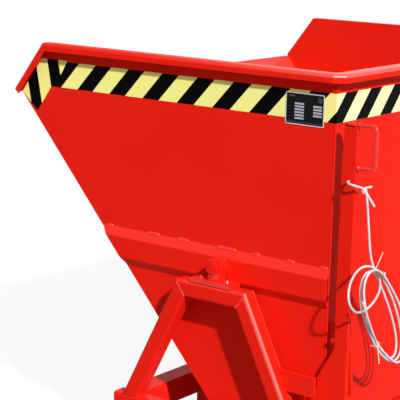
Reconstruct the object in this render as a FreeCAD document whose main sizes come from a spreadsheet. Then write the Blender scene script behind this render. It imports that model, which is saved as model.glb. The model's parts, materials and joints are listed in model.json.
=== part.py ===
import FreeCAD, Part
import math
import os
import re
import Sketcher
from FreeCAD import Placement, Rotation, Vector

# A tipping skip on a wheeled chassis: a sheet-steel skip hangs on two trunnions between A-shaped trestles,
# and a release lever at its rear left corner holds it level. Millimetres, +X is the pouring side, +Y the
# left, +Z up, and the origin lies on the floor below the middle of the object.

doc = FreeCAD.newDocument("tipping_skip_trolley")

# Driving sizes
SIZES = {
    # skip
    "skip_width": 1183, "skip_depth": 800, "rim_length": 830, "lip_back": 2.8, "lip_drop": 126,
    "front_slope": 0.9035, "wall": 3, "rear_plate": 5, "floor_sheet": 4, "rim_reach": 25, "rim_height": 20,
    "rim_sheet": 3, "corner_clip": 23, "rim_run": 92, "rim_drop": 119, "lip_flange": 15.8, "lip_turn": 5,
    # side stiffeners
    "stiffener_rise": 36, "stiffener_height": 90, "stiffener_depth": 13, "stiffener_bevel": 20,
    "stiffener_sheet": 4, "stiffener_margin": 16,
    # trunnions and bearings
    "axis_from_rear": 277, "axis_share": 0.575, "trunnion_radius": 12, "trunnion_length": 47,
    "running_gap": 0.05, "seat_gap": 0.3, "bearing_radius": 20, "bearing_length": 30, "bearing_gap": 4, "bearing_rise": 40,
    "bearing_plate": 10, "bearing_base": 112, "bearing_web": 30, "washer_radius": 14.5, "washer_sheet": 3,
    "collar_radius": 17, "collar_width": 7, "collar_screw": 2.5, "bearing_bolt_offset": 34,
    "bolt_shank": 5, "bolt_head": 9, "bolt_head_height": 5.5, "bolt_socket": 3.4, "bolt_socket_depth": 3,
    # trestles and chassis
    "trestle_gap": 20, "trestle_tube": 40, "tube_wall": 3, "tube_corner": 7, "trestle_top": 192,
    "leg_spread": 156, "chassis_length": 554, "frame_section": 60, "rail_width": 40, "castor_height": 190,
    "pad_sheet": 8, "pad_length": 145, "pad_width": 120, "buffer_height": 12, "buffer_radius": 18,
    "buffer_offset": 380, "stop_height": 36, "stop_radius": 20, "stop_offset": 300, "pocket_width": 180,
    "pocket_height": 80, "pocket_wall": 5, "pocket_offset": 230,
    # release lever
    "lever_gap": 5, "lever_sheet": 12, "lever_setback": 31, "lever_width": 31, "lever_top": 97,
    "lever_round": 12, "bend_height": 208, "lever_lean": 0.55, "heel_height": 100, "pivot_forward": 12,
    "pivot_height": 28, "pivot_radius": 8, "pivot_boss": 26, "pivot_collar": 14, "pivot_head": 13,
    "pivot_head_height": 8, "catch_forward": 20, "catch_height": 115, "striker_radius": 7, "catch_gap": 0.6,
    "throat_gap": 4, "nose_short": 3.6, "striker_inset": 2, "lug_sheet": 10, "lug_height": 44, "lug_reach": 15,
    "grip_rod": 4.5, "grip_reach": 44, "grip_height": 91, "grip_inset": 4, "grip_bend": 10,
    "cord_hole_drop": 222, "cord_hole_radius": 4, "stop_plate": 8, "stop_plate_gap": 6, "stop_pin": 5,
    "stop_pin_gap": 0.6, "stop_pin_height": 225, "stop_plate_high": 255, "stop_plate_low": 100,
    "stop_plate_reach": 52, "stop_plate_foot": 66, "spring_wire": 1.5, "spring_radius": 13, "spring_turns": 4,
    "spring_pitch": 3.7, "spring_leg": 26,
    # castors
    "castor_inset": 75, "castor_plate_x": 135, "castor_plate_y": 110, "castor_sheet": 6, "castor_hole_x": 105,
    "castor_hole_y": 80, "castor_bolt": 5, "castor_head": 9, "castor_head_height": 6, "wheel_radius": 80,
    "wheel_width": 42, "tyre_wall": 20, "tyre_shoulder": 6, "core_ring": 8, "core_web": 10, "hub_radius": 22,
    "hub_width": 50, "axle_radius": 7, "axle_nut": 11, "axle_nut_height": 7, "fork_sheet": 5, "fork_gap": 1,
    "fork_top": 44, "fork_eye": 17, "trail": 40, "race_radius": 34, "race_height": 12, "king_radius": 9,
    "king_gap": 0.4, "crown_front": 32, "crown_rear": 62, "crown_skirt": 14, "brake_pin": 5, "brake_back": 68,
    "brake_rise": 62, "brake_ear": 12, "brake_width": 44, "brake_cam": 11.4, "brake_hub": 9.5,
    "brake_pedal": 52, "brake_lift": 20, "brake_sheet": 6,
    # cord
    "cord_radius": 2.5, "coil_pitch": 6.4, "tie_sheet": 1.4, "tie_height": 4.5, "tie_fit": 0.5, "tie_tail": 2,
}

sheet = doc.addObject("Spreadsheet::Sheet", "sizes")
for row, (alias, value) in enumerate(SIZES.items(), start=1):
    sheet.set(f"A{row}", alias)
    sheet.set(f"B{row}", str(value))
    sheet.setAlias(f"B{row}", alias)
doc.recompute()

CORD_TRIM = 0.45
NAMES = re.compile(r"\b(" + "|".join(SIZES) + r")\b")


def bound(expression):
    """The expression with each size's name pointed at its cell."""
    return NAMES.sub(r"sizes.\1", str(expression))


def number(expression):
    """The expression's value in millimetres, or as a plain ratio."""
    return float(sheet.evalExpression(bound(expression)))


def bind(item, **expressions):
    """Ties the item's properties to the sizes."""
    for name, expression in expressions.items():
        item.setExpression(name.replace("__", "."), bound(expression))


def place(item, x="0", y="0", z="0"):
    bind(item, Placement__Base__x=x, Placement__Base__y=y, Placement__Base__z=z)


# Levels and stations worked out from the driving sizes
FRAME_LOW = "(castor_height + pad_sheet)"
FRAME_TOP = f"({FRAME_LOW} + frame_section)"
FLOOR = f"({FRAME_TOP} + buffer_height)"
RIM = f"({FLOOR} + skip_depth)"
GRIP_END = "(lever_setback + lever_width + grip_reach + grip_rod)"
LIP_LENGTH = "(rim_length + rim_run - lip_back)"
REAR = f"(({GRIP_END} - {LIP_LENGTH} - lip_flange + wall) / 2)"
AXIS_X = f"({REAR} + axis_from_rear)"
AXIS_Z = f"({RIM} - axis_share * skip_depth)"
SIDE = "(skip_width / 2)"
SLANT = "sqrt(1 + front_slope ^ 2)"
LIP_X = f"({REAR} + {LIP_LENGTH})"
LIP_Z = f"({RIM} - lip_drop)"
FOOT_X = f"({LIP_X} - front_slope * (skip_depth - lip_drop))"
TRESTLE_Y = f"({SIDE} + trestle_gap + trestle_tube / 2)"
BAR_TOP = f"({AXIS_Z} - bearing_rise)"
LEVER_Y = f"({SIDE} + lever_gap + lever_sheet / 2)"
PIVOT_X = f"({REAR} + pivot_forward)"
PIVOT_Z = f"({FLOOR} + pivot_height)"
STRIKER_X = f"({REAR} + catch_forward)"
STRIKER_Z = f"({FLOOR} + catch_height)"

finished = []


def keep(item, label):
    item.Label = label
    finished.append(item)
    return item


# Shared ways of making pieces

def outline(body, role, points, name="outline"):
    """A closed outline on one of the body's own planes, each corner held at expressions of the sizes."""
    sketch = body.newObject("Sketcher::SketchObject", name)
    plane = next(item for item in body.Origin.OriginFeatures if item.Role == role)
    sketch.AttachmentSupport = (plane, [""])
    sketch.MapMode = "FlatFace"
    corners = [Vector(number(across), number(up), 0) for across, up in points]
    count = len(corners)
    for index in range(count):
        sketch.addGeometry(Part.LineSegment(corners[index], corners[(index + 1) % count]))
    for index in range(count):
        sketch.addConstraint(Sketcher.Constraint("Coincident", index, 2, (index + 1) % count, 1))
    for index, (across, up) in enumerate(points):
        for kind, value, expression in (("DistanceX", corners[index].x, across),
                                        ("DistanceY", corners[index].y, up)):
            held = sketch.addConstraint(Sketcher.Constraint(kind, -1, 1, index, 1, value))
            sketch.setExpression(f"Constraints[{held}]", bound(expression))
    return sketch


def pad(body, sketch, length, symmetric=True, reverse=False):
    feature = body.newObject("PartDesign::Pad", "pad")
    feature.Profile = sketch
    feature.SideType = "Symmetric" if symmetric else "One side"
    feature.Reversed = reverse
    bind(feature, Length=length)
    sketch.Visibility = False
    return feature


def pocket(body, sketch, length, symmetric=True, reverse=False):
    feature = body.newObject("PartDesign::Pocket", "pocket")
    feature.Profile = sketch
    feature.SideType = "Symmetric" if symmetric else "One side"
    feature.Reversed = reverse
    bind(feature, Length=length)
    return feature


def new_body(label):
    return doc.addObject("PartDesign::Body", label + "_body")


def slab(label, role, points, thickness, x="0", y="0", z="0"):
    """A flat plate: an outline thickened evenly to both sides of its plane."""
    body = new_body(label)
    pad(body, outline(body, role, points), thickness)
    place(body, x, y, z)
    return body


def plate(label, *form, **where):
    return keep(slab(label, *form, **where), label)


def turned(name, profile, x, y, z):
    """A round piece about an axis along Y, from half its section as (along, radius) pairs."""
    body = new_body(name)
    section = outline(body, "YZ_Plane", profile)
    turn = body.newObject("PartDesign::Revolution", "turn")
    turn.Profile = section
    turn.ReferenceAxis = (section, ["H_Axis"])
    place(body, x, y, z)
    return body


def box(name, length, width, height, x, y, z):
    """A box standing on z, with x and y at its middle."""
    item = doc.addObject("Part::Box", name)
    bind(item, Length=length, Width=width, Height=height)
    place(item, f"({x}) - ({length}) / 2", f"({y}) - ({width}) / 2", z)
    return item


def rod(name, radius, height, x, y, z, axis):
    """A round rod from the given point along +X, +Y or +Z."""
    item = doc.addObject("Part::Cylinder", name)
    bind(item, Radius=radius, Height=height)
    turns = {"X": Rotation(Vector(0, 1, 0), 90), "Y": Rotation(Vector(1, 0, 0), -90), "Z": Rotation()}
    item.Placement = Placement(Vector(), turns[axis])
    place(item, x, y, z)
    return item


def cut(label, base, tool):
    item = doc.addObject("Part::Cut", label + "_cut")
    item.Base = base
    item.Tool = tool
    return item


def fuse(label, *items):
    item = doc.addObject("Part::MultiFuse", label + "_fuse")
    item.Shapes = list(items)
    item.Refine = True
    return item


def group(label, *items):
    """Separate solids of one kind kept under one name."""
    item = doc.addObject("Part::Compound", label + "_group")
    item.Links = list(items)
    return item


def rounded(name, base, along, radius):
    """The base with its edges that run along the given direction rounded."""
    doc.recompute()
    direction = Vector(*along)
    edges = []
    for index, edge in enumerate(base.Shape.Edges, start=1):
        run = edge.Vertexes[-1].Point.sub(edge.Vertexes[0].Point)
        if run.Length > 0 and run.cross(direction).Length < 0.01 * run.Length:
            edges.append((index, number(radius), number(radius)))
    item = doc.addObject("Part::Fillet", name)
    item.Base = base
    item.Edges = edges
    return item


def straight_tube(label, length, width, height, x, y, z, along, wall="tube_wall"):
    """A rectangular tube with rounded corners along X or Y, open at both ends."""
    hollow = {"X": (length, f"{width} - 2 * {wall}"), "Y": (f"{length} - 2 * {wall}", width)}[along]
    way = {"X": (1, 0, 0), "Y": (0, 1, 0)}[along]
    outer = rounded(label + "_outer", box(label + "_block", length, width, height, x, y, z), way, "tube_corner")
    inner = box(label + "_inner", hollow[0], hollow[1], f"{height} - 2 * {wall}", x, y, f"{z} + {wall}")
    return keep(cut(label, outer, inner), label)


def slanted_tube(label, corners, inner, y):
    """A square tube in the X-Z plane with mitred ends: its outline thickened, then hollowed end to end."""
    body = new_body(label)
    solid = pad(body, outline(body, "XZ_Plane", corners), "trestle_tube")
    doc.recompute()
    start, end = (Vector(number(across), 0, number(up)) for across, up in (corners[0], corners[1]))
    direction = end.sub(start)
    edges = []
    for index, edge in enumerate(solid.Shape.Edges, start=1):
        run = edge.Vertexes[-1].Point.sub(edge.Vertexes[0].Point)
        if run.cross(direction).Length < 0.001 * run.Length * direction.Length:
            edges.append(f"Edge{index}")
    fillet = body.newObject("PartDesign::Fillet", "fillet")
    fillet.Base = (solid, edges)
    bind(fillet, Radius="tube_corner")
    pocket(body, outline(body, "XZ_Plane", inner, "bore"), "trestle_tube - 2 * tube_wall")
    place(body, y=y)
    return keep(body, label)


def biarc_wire(points, tangents):
    """A smooth wire of circle arcs through the points with the given directions, two arcs to a step."""
    edges = []
    for first, last, start_way, end_way in zip(points, points[1:], tangents, tangents[1:]):
        span = last.sub(first)
        ways = start_way.add(end_way)
        a = 2 * (1 - start_way.dot(end_way))
        b = 2 * span.dot(ways)
        c = -span.dot(span)
        reach = -c / b if abs(a) < 1e-9 else (-b + math.sqrt(b * b - 4 * a * c)) / (2 * a)
        near = first.add(start_way * reach)
        far = last.sub(end_way * reach)
        joint = (near + far) * 0.5
        for begin, corner, finish in ((first, near, joint), (joint, far, last)):
            edges.append(corner_arc(begin, corner, finish))
    return Part.Wire(edges)


def corner_arc(begin, corner, finish):
    """The arc from begin to finish whose end tangents meet at the corner, or a line where all are in line."""
    chord = finish.sub(begin)
    middle = (begin + finish) * 0.5
    height = corner.sub(middle)
    half = chord.Length / 2
    if height.Length < 1e-6 * half:
        return Part.LineSegment(begin, finish).toShape()
    side = math.hypot(half, height.Length)
    rise = half * (side - half) / height.Length
    return Part.Arc(begin, middle + height * (rise / height.Length), finish).toShape()


def pipe(wire, start, way, radius):
    """A round tube swept along the wire."""
    circle = Part.Wire([Part.Circle(start, way, radius).toShape()])
    return wire.makePipeShell([circle], True, False)


def route_wire(points, bend=None):
    """Straight runs joined by tangent arcs, of a given radius or as large as the runs allow, and their radii."""
    radii = []
    edges = []
    begin = points[0]
    for before, corner, after in zip(points, points[1:], points[2:]):
        back = before.sub(corner)
        onward = after.sub(corner)
        half_turn = (math.pi - back.getAngle(onward)) / 2
        trim = bend * math.tan(half_turn) if bend else CORD_TRIM * min(back.Length, onward.Length)
        arc_in = corner + back.normalize() * trim
        arc_out = corner + onward.normalize() * trim
        radii.append(trim / math.tan(half_turn))
        edges.append(Part.LineSegment(begin, arc_in).toShape())
        edges.append(corner_arc(arc_in, corner, arc_out))
        begin = arc_out
    edges.append(Part.LineSegment(begin, points[-1]).toShape())
    return Part.Wire(edges), radii


def shaped(label, shape, where):
    """A piece whose form no parametric feature makes, built about its own origin."""
    item = doc.addObject("Part::Feature", label + "_shape")
    item.Shape = shape
    item.Placement = Placement(where, Rotation())
    return keep(item, label)


def least_gap(points, skip, diameter):
    """The least clear distance between stretches of a tube that are not next to each other."""
    best = 1e9
    for index, point in enumerate(points):
        for other in points[index + skip:]:
            best = min(best, point.distanceToPoint(other))
    return best - diameter


SIDES = (("left", 1), ("right", -1))

# Skip plates

WALL_TOP = f"({RIM} - rim_sheet)"
BEND_X = f"({REAR} + rim_length)"
HALF_BEND = "((sqrt(rim_run ^ 2 + rim_drop ^ 2) - rim_run) / rim_drop)"
RIM_START = f"({REAR} + rear_plate)"
END_X = f"({BEND_X} + rim_run)"
END_Z = f"({RIM} - rim_drop)"
RUN = "(rim_run / sqrt(rim_run ^ 2 + rim_drop ^ 2))"
DROP = "(rim_drop / sqrt(rim_run ^ 2 + rim_drop ^ 2))"
side_outline = [(REAR, FLOOR), (FOOT_X, FLOOR), (LIP_X, LIP_Z),
                (f"{END_X} - {DROP} * rim_sheet", f"{END_Z} - {RUN} * rim_sheet"),
                (f"{BEND_X} - rim_sheet * {HALF_BEND}", WALL_TOP), (REAR, WALL_TOP)]
for name, side in SIDES:
    plate(f"{name}_side_wall", "XZ_Plane", side_outline, "wall", y=f"{side} * ({SIDE} - wall / 2)")

INNER_WIDTH = "(skip_width - 2 * wall)"
plate("rear_wall", "YZ_Plane",
      [(f"-{INNER_WIDTH} / 2", FLOOR), (f"{INNER_WIDTH} / 2", FLOOR),
       (f"{INNER_WIDTH} / 2", WALL_TOP), (f"-{INNER_WIDTH} / 2", WALL_TOP)],
      "rear_plate", x=f"{REAR} + rear_plate / 2")
plate("floor_plate", "XZ_Plane",
      [(f"{REAR} + rear_plate", FLOOR), (f"{FOOT_X} - wall * {SLANT}", FLOOR),
       (f"{FOOT_X} - wall * {SLANT} + front_slope * floor_sheet", f"{FLOOR} + floor_sheet"),
       (f"{REAR} + rear_plate", f"{FLOOR} + floor_sheet")], INNER_WIDTH)
plate("front_wall", "XZ_Plane",
      [(FOOT_X, FLOOR), (LIP_X, LIP_Z), (f"{LIP_X} - wall * {SLANT}", LIP_Z), (f"{FOOT_X} - wall * {SLANT}", FLOOR)],
      INNER_WIDTH)
plate("pour_lip", "XZ_Plane",
      [(f"{LIP_X} - wall * {SLANT}", LIP_Z), (f"{LIP_X} + lip_flange - 2 * wall", LIP_Z),
       (f"{LIP_X} + lip_flange - 2 * wall", f"{LIP_Z} - lip_turn"),
       (f"{LIP_X} + lip_flange - wall", f"{LIP_Z} - lip_turn"),
       (f"{LIP_X} + lip_flange - wall", f"{LIP_Z} + wall"), (f"{LIP_X} - wall * {SLANT}", f"{LIP_Z} + wall")],
      INNER_WIDTH)

# Rim angles

def rim_strip(depth):
    """The rim's line along the side and down to the lip, as a strip of the given depth below it."""
    return [(RIM_START, RIM), (BEND_X, RIM), (END_X, END_Z),
            (f"{END_X} - {DROP} * {depth}", f"{END_Z} - {RUN} * {depth}"),
            (f"{BEND_X} - {depth} * {HALF_BEND}", f"{RIM} - {depth}"), (RIM_START, f"{RIM} - {depth}")]


for name, side in SIDES:
    body = new_body(f"{name}_rim")
    flange = "(rim_reach + wall)"
    pad(body, outline(body, "XZ_Plane", rim_strip("rim_sheet")), flange)
    skirt = outline(body, "XZ_Plane", rim_strip("rim_height"), "skirt")
    bind(skirt, AttachmentOffset__Base__z=f"-{side} * ({flange} / 2 - rim_sheet / 2)")
    pad(body, skirt, "rim_sheet")
    place(body, y=f"{side} * ({SIDE} - wall + {flange} / 2)")
    keep(body, f"{name}_rim")

body = new_body("rear_rim")
REACH_Y = f"({SIDE} + rim_reach)"
REACH_X = f"({REAR} - rim_reach)"
INSET = "(rim_sheet * (sqrt(2) - 1))"
rear_edge = [(RIM_START, REACH_Y), (f"{REACH_X} + corner_clip", REACH_Y), (REACH_X, f"{REACH_Y} - corner_clip")]
inner_edge = [(RIM_START, f"{REACH_Y} - rim_sheet"),
              (f"{REACH_X} + corner_clip + {INSET}", f"{REACH_Y} - rim_sheet"),
              (f"{REACH_X} + rim_sheet", f"{REACH_Y} - corner_clip - {INSET}")]
mirrored = [(across, f"-({up})") for across, up in reversed(rear_edge)]
mirrored_inner = [(across, f"-({up})") for across, up in reversed(inner_edge)]
pad(body, outline(body, "XY_Plane", rear_edge + mirrored), "rim_sheet", symmetric=False, reverse=True)
pad(body, outline(body, "XY_Plane", rear_edge + mirrored + mirrored_inner[::-1] + inner_edge[::-1], "skirt"),
    "rim_height", symmetric=False, reverse=True)
place(body, z=RIM)
keep(body, "rear_rim")

# Side stiffeners: a folded hat section on each side wall, cut off along the slope of the front wall

HAT_TOP = f"({AXIS_Z} + stiffener_rise)"
HAT_LOW = f"({HAT_TOP} - stiffener_height)"
HAT_FACE = f"({SIDE} + stiffener_depth)"
HAT_FOLD = "(stiffener_sheet * sqrt(stiffener_depth ^ 2 + stiffener_bevel ^ 2) / stiffener_depth)"
HAT_INNER = f"({HAT_FOLD} + stiffener_bevel * (stiffener_depth - stiffener_sheet) / stiffener_depth)"


def hat_end(level):
    """Where the stiffener ends at a level, measured from the rear wall."""
    return f"({FOOT_X} - {REAR} + front_slope * ({level} - {FLOOR}) - stiffener_margin * {SLANT})"


for name, side in SIDES:
    body = new_body(f"{name}_stiffener")
    hat = [(SIDE, HAT_TOP), (HAT_FACE, f"{HAT_TOP} - stiffener_bevel"), (HAT_FACE, f"{HAT_LOW} + stiffener_bevel"),
           (SIDE, HAT_LOW), (SIDE, f"{HAT_LOW} + {HAT_FOLD}"),
           (f"{HAT_FACE} - stiffener_sheet", f"{HAT_LOW} + {HAT_INNER}"),
           (f"{HAT_FACE} - stiffener_sheet", f"{HAT_TOP} - {HAT_INNER}"), (SIDE, f"{HAT_TOP} - {HAT_FOLD}")]
    pad(body, outline(body, "YZ_Plane", [(f"{side} * ({across})", up) for across, up in hat]),
        hat_end(HAT_TOP), symmetric=False)
    over = f"({HAT_TOP} + stiffener_height)"
    under = f"({HAT_LOW} - stiffener_height)"
    slope_cut = outline(body, "XZ_Plane", [(hat_end(under), under), (hat_end(over), under), (hat_end(over), over)],
                        "slope_cut")
    pocket(body, slope_cut, f"2 * {HAT_FACE} + stiffener_depth")
    place(body, x=REAR)
    keep(body, f"{name}_stiffener")

# Trunnions, their bearings and fastenings

TRESTLE_IN = f"({SIDE} + trestle_gap)"
BEARING_IN = f"({HAT_FACE} + bearing_gap)"
BEARING_OUT = f"({BEARING_IN} + bearing_length)"
WEB_WIDTH = f"({BEARING_OUT} - {TRESTLE_IN})"
WASHER_Y = f"({BEARING_OUT} + seat_gap)"
COLLAR_Y = f"({WASHER_Y} + washer_sheet)"
washers = []
collars = []
bearing_bolts = []


def ring(name, outer, width, start, side):
    """A ring on the trunnion, its bore the pin's own size, from the given distance outwards."""
    begin = start if side > 0 else f"-({start}) - {width}"
    return cut(name, rod(f"{name}_disc", outer, width, AXIS_X, begin, AXIS_Z, "Y"),
               rod(f"{name}_bore", "trunnion_radius", width, AXIS_X, begin, AXIS_Z, "Y"))


for name, side in SIDES:
    start = HAT_FACE if side > 0 else f"-{HAT_FACE} - trunnion_length"
    keep(rod(f"{name}_pin", "trunnion_radius", "trunnion_length", AXIS_X, start, AXIS_Z, "Y"), f"{name}_trunnion")
    washers.append(ring(f"{name}_washer", "washer_radius", "washer_sheet", WASHER_Y, side))
    screw_hole = rod(f"{name}_screw_hole", "collar_screw", "collar_radius", AXIS_X,
                     f"{side} * ({COLLAR_Y} + collar_width / 2)", AXIS_Z, "Z")
    collars.append(cut(f"{name}_collar_ring", ring(f"{name}_collar", "collar_radius", "collar_width", COLLAR_Y, side),
                       screw_hole))

    middle = f"{side} * {TRESTLE_Y}"
    base = box(f"{name}_base", "bearing_base", "trestle_tube", "bearing_plate", AXIS_X, middle, BAR_TOP)
    web = box(f"{name}_web", "bearing_web", WEB_WIDTH, "bearing_rise", AXIS_X,
              f"{side} * ({TRESTLE_IN} + {WEB_WIDTH} / 2)", BAR_TOP)
    barrel_start = BEARING_IN if side > 0 else f"-{BEARING_OUT}"
    barrel = rod(f"{name}_barrel", "bearing_radius", "bearing_length", AXIS_X, barrel_start, AXIS_Z, "Y")
    bore = rod(f"{name}_bore", "trunnion_radius + running_gap", "3 * bearing_length", AXIS_X,
               f"{barrel_start} - bearing_length", AXIS_Z, "Y")
    bolt_holes = []
    for end, way in (("front", 1), ("rear", -1)):
        bolt_x = f"{AXIS_X} + {way} * bearing_bolt_offset"
        bolt_holes.append(rod(f"{name}_{end}_bolt_hole", "bolt_shank", "bearing_plate", bolt_x, middle, BAR_TOP, "Z"))
        shank = rod(f"{name}_{end}_shank", "bolt_shank", "bearing_plate + bolt_head_height / 2", bolt_x, middle,
                    BAR_TOP, "Z")
        head = doc.addObject("Part::Cone", f"{name}_{end}_head")
        bind(head, Radius1="bolt_head", Radius2="bolt_head - bolt_head_height / 2", Height="bolt_head_height")
        place(head, bolt_x, middle, f"{BAR_TOP} + bearing_plate")
        socket = doc.addObject("Part::Prism", f"{name}_{end}_socket")
        socket.Polygon = 6
        bind(socket, Circumradius="bolt_socket", Height="bolt_socket_depth")
        place(socket, bolt_x, middle, f"{BAR_TOP} + bearing_plate + bolt_head_height - bolt_socket_depth")
        bearing_bolts.append(cut(f"{name}_{end}_bolt", fuse(f"{name}_{end}_bolt", shank, head), socket))
    keep(cut(f"{name}_bearing", fuse(f"{name}_bearing", base, web, barrel),
             group(f"{name}_bearing_holes", bore, *bolt_holes)), f"{name}_bearing")
keep(group("trunnion_washers", *washers), "trunnion_washers")
keep(group("trunnion_collars", *collars), "trunnion_collars")
keep(group("bearing_bolts", *bearing_bolts), "bearing_bolts")

# Trestles: mitred square tube

LEG_SLOPE = f"(leg_spread / ({BAR_TOP} - {FRAME_TOP}))"
LEG_WIDTH = f"(trestle_tube * sqrt(1 + {LEG_SLOPE} ^ 2))"
LEG_WALL = f"(tube_wall * sqrt(1 + {LEG_SLOPE} ^ 2))"
BAR_LOW = f"({BAR_TOP} - trestle_tube)"


def leg_edge(level):
    """How far from the trunnion's axis the outer edge of a leg lies at a level."""
    return f"(trestle_top / 2 + {LEG_SLOPE} * ({BAR_TOP} - ({level})))"


for name, side in SIDES:
    middle = f"{side} * {TRESTLE_Y}"
    half = "(trestle_top / 2)"
    inner_half = f"({leg_edge(BAR_LOW)} - {LEG_WIDTH})"
    slanted_tube(f"{name}_trestle_bar",
                 [(f"{AXIS_X} - {half}", BAR_TOP), (f"{AXIS_X} + {half}", BAR_TOP),
                  (f"{AXIS_X} + {inner_half}", BAR_LOW), (f"{AXIS_X} - {inner_half}", BAR_LOW)],
                 [(f"{AXIS_X} - trestle_top", f"{BAR_TOP} - tube_wall"),
                  (f"{AXIS_X} + trestle_top", f"{BAR_TOP} - tube_wall"),
                  (f"{AXIS_X} + trestle_top", f"{BAR_LOW} + tube_wall"),
                  (f"{AXIS_X} - trestle_top", f"{BAR_LOW} + tube_wall")], middle)
    for end, way in (("front", 1), ("rear", -1)):
        over = f"({BAR_TOP} + trestle_tube)"
        under = f"({FRAME_TOP} - trestle_tube)"
        slanted_tube(f"{name}_{end}_leg",
                     [(f"{AXIS_X} + {way} * {half}", BAR_TOP),
                      (f"{AXIS_X} + {way} * {leg_edge(FRAME_TOP)}", FRAME_TOP),
                      (f"{AXIS_X} + {way} * ({leg_edge(FRAME_TOP)} - {LEG_WIDTH})", FRAME_TOP),
                      (f"{AXIS_X} + {way} * {inner_half}", BAR_LOW)],
                     [(f"{AXIS_X} + {way} * ({leg_edge(over)} - {LEG_WALL})", over),
                      (f"{AXIS_X} + {way} * ({leg_edge(under)} - {LEG_WALL})", under),
                      (f"{AXIS_X} + {way} * ({leg_edge(under)} - {LEG_WIDTH} + {LEG_WALL})", under),
                      (f"{AXIS_X} + {way} * ({leg_edge(over)} - {LEG_WIDTH} + {LEG_WALL})", over)], middle)

# Chassis frame

BAR_X = "(chassis_length / 2 - frame_section / 2)"
for name, side in SIDES:
    straight_tube(f"{name}_side_rail", "chassis_length", "rail_width", "frame_section", AXIS_X,
                  f"{side} * {TRESTLE_Y}", FRAME_LOW, "X")
    straight_tube(f"{name}_fork_pocket", "chassis_length", "pocket_width", "pocket_height", AXIS_X,
                  f"{side} * pocket_offset", f"({FRAME_LOW} - pocket_height)", "X", "pocket_wall")
for end, way in (("front", 1), ("rear", -1)):
    straight_tube(f"{end}_crossbar", "frame_section", f"(2 * {TRESTLE_Y} - rail_width)", "frame_section",
                  f"{AXIS_X} + {way} * {BAR_X}", "0", FRAME_LOW, "Y")
buffers = []
for name, side in SIDES:
    buffers.append(rod(f"{name}_rest", "buffer_radius", "buffer_height - seat_gap", f"{AXIS_X} - {BAR_X}",
                       f"{side} * buffer_offset", FRAME_TOP, "Z"))
    buffers.append(rod(f"{name}_stop", "stop_radius", "stop_height", f"{AXIS_X} + {BAR_X}",
                       f"{side} * stop_offset", FRAME_TOP, "Z"))
keep(group("rubber_buffers", *buffers), "rubber_buffers")

# Catch striker on the left rear leg

LUG_Y = f"({SIDE} + trestle_gap + tube_corner + lug_sheet / 2)"
lug_high = f"({STRIKER_Z} + lug_height / 2)"
lug_low = f"({STRIKER_Z} - lug_height / 2)"
lug = slab("latch_lug", "XZ_Plane",
           [(f"{STRIKER_X} - lug_reach", lug_high), (f"{AXIS_X} - {leg_edge(lug_high)}", lug_high),
            (f"{AXIS_X} - {leg_edge(lug_low)}", lug_low), (f"{STRIKER_X} - lug_reach", lug_low)],
           "lug_sheet", y=LUG_Y)
striker = rod("striker_pin", "striker_radius", f"{LUG_Y} - {SIDE} - striker_inset", STRIKER_X,
              f"{SIDE} + striker_inset", STRIKER_Z, "Y")
keep(fuse("latch_striker", lug, striker), "latch_striker")

# Release lever, its pivot, its stop and its grip

LEVER_X = f"({REAR} - lever_setback)"
LEVER_BACK = f"({LEVER_X} - lever_width)"
LEVER_FACE = f"({SIDE} + lever_gap + lever_sheet)"
THROAT_X = f"({STRIKER_X} - striker_radius - throat_gap)"
NOSE_Z = f"({STRIKER_Z} - striker_radius - catch_gap)"
LEVER_TOP = f"({RIM} - lever_top)"
blade = slab("lever_blade", "XZ_Plane",
             [(LEVER_BACK, LEVER_TOP), (LEVER_X, LEVER_TOP), (LEVER_X, f"{FLOOR} + bend_height"),
              (THROAT_X, f"{FLOOR} + bend_height - ({THROAT_X} - {LEVER_X}) / lever_lean"), (THROAT_X, NOSE_Z),
              (f"{STRIKER_X} - nose_short", NOSE_Z), (f"{PIVOT_X} + pivot_boss", PIVOT_Z),
              (f"{PIVOT_X} - pivot_boss", PIVOT_Z), (LEVER_BACK, f"{FLOOR} + heel_height")],
             "lever_sheet", y=LEVER_Y)
doc.recompute()
top_edges = [f"Edge{index}" for index, edge in enumerate(blade.Shape.Edges, start=1)
             if all(abs(vertex.Z - number(LEVER_TOP)) < 0.01 for vertex in edge.Vertexes)
             and abs(edge.Vertexes[0].X - edge.Vertexes[-1].X) < 0.01]
rounding = blade.newObject("PartDesign::Fillet", "rounding")
rounding.Base = (blade.Group[1], top_edges)
bind(rounding, Radius="lever_round")
lever_start = f"{SIDE} + lever_gap"
boss = rod("lever_boss", "pivot_boss", "lever_sheet", PIVOT_X, lever_start, PIVOT_Z, "Y")
lever_holes = group("lever_holes",
                    rod("lever_bore", "pivot_radius + running_gap", "lever_sheet", PIVOT_X, lever_start, PIVOT_Z, "Y"),
                    rod("cord_hole", "cord_hole_radius", "lever_sheet", f"{LEVER_X} - lever_width / 2", lever_start,
                        f"{RIM} - cord_hole_drop", "Y"))
keep(cut("release_lever", fuse("release_lever", blade, boss), lever_holes), "release_lever")

SPRING_ROOM = "(spring_turns * spring_pitch + 4 * spring_wire)"
collar = rod("pivot_collar_ring", "pivot_collar", "lever_gap - seat_gap", PIVOT_X, SIDE, PIVOT_Z, "Y")
shank = rod("pivot_shank", "pivot_radius", f"lever_gap + lever_sheet + {SPRING_ROOM}", PIVOT_X, SIDE, PIVOT_Z, "Y")
head = doc.addObject("Part::Prism", "pivot_hex")
head.Polygon = 6
bind(head, Circumradius="pivot_head", Height="pivot_head_height")
head.Placement = Placement(Vector(), Rotation(Vector(1, 0, 0), -90))
place(head, PIVOT_X, f"{LEVER_FACE} + {SPRING_ROOM}", PIVOT_Z)
keep(fuse("lever_pivot", collar, shank, head), "lever_pivot")

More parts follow.
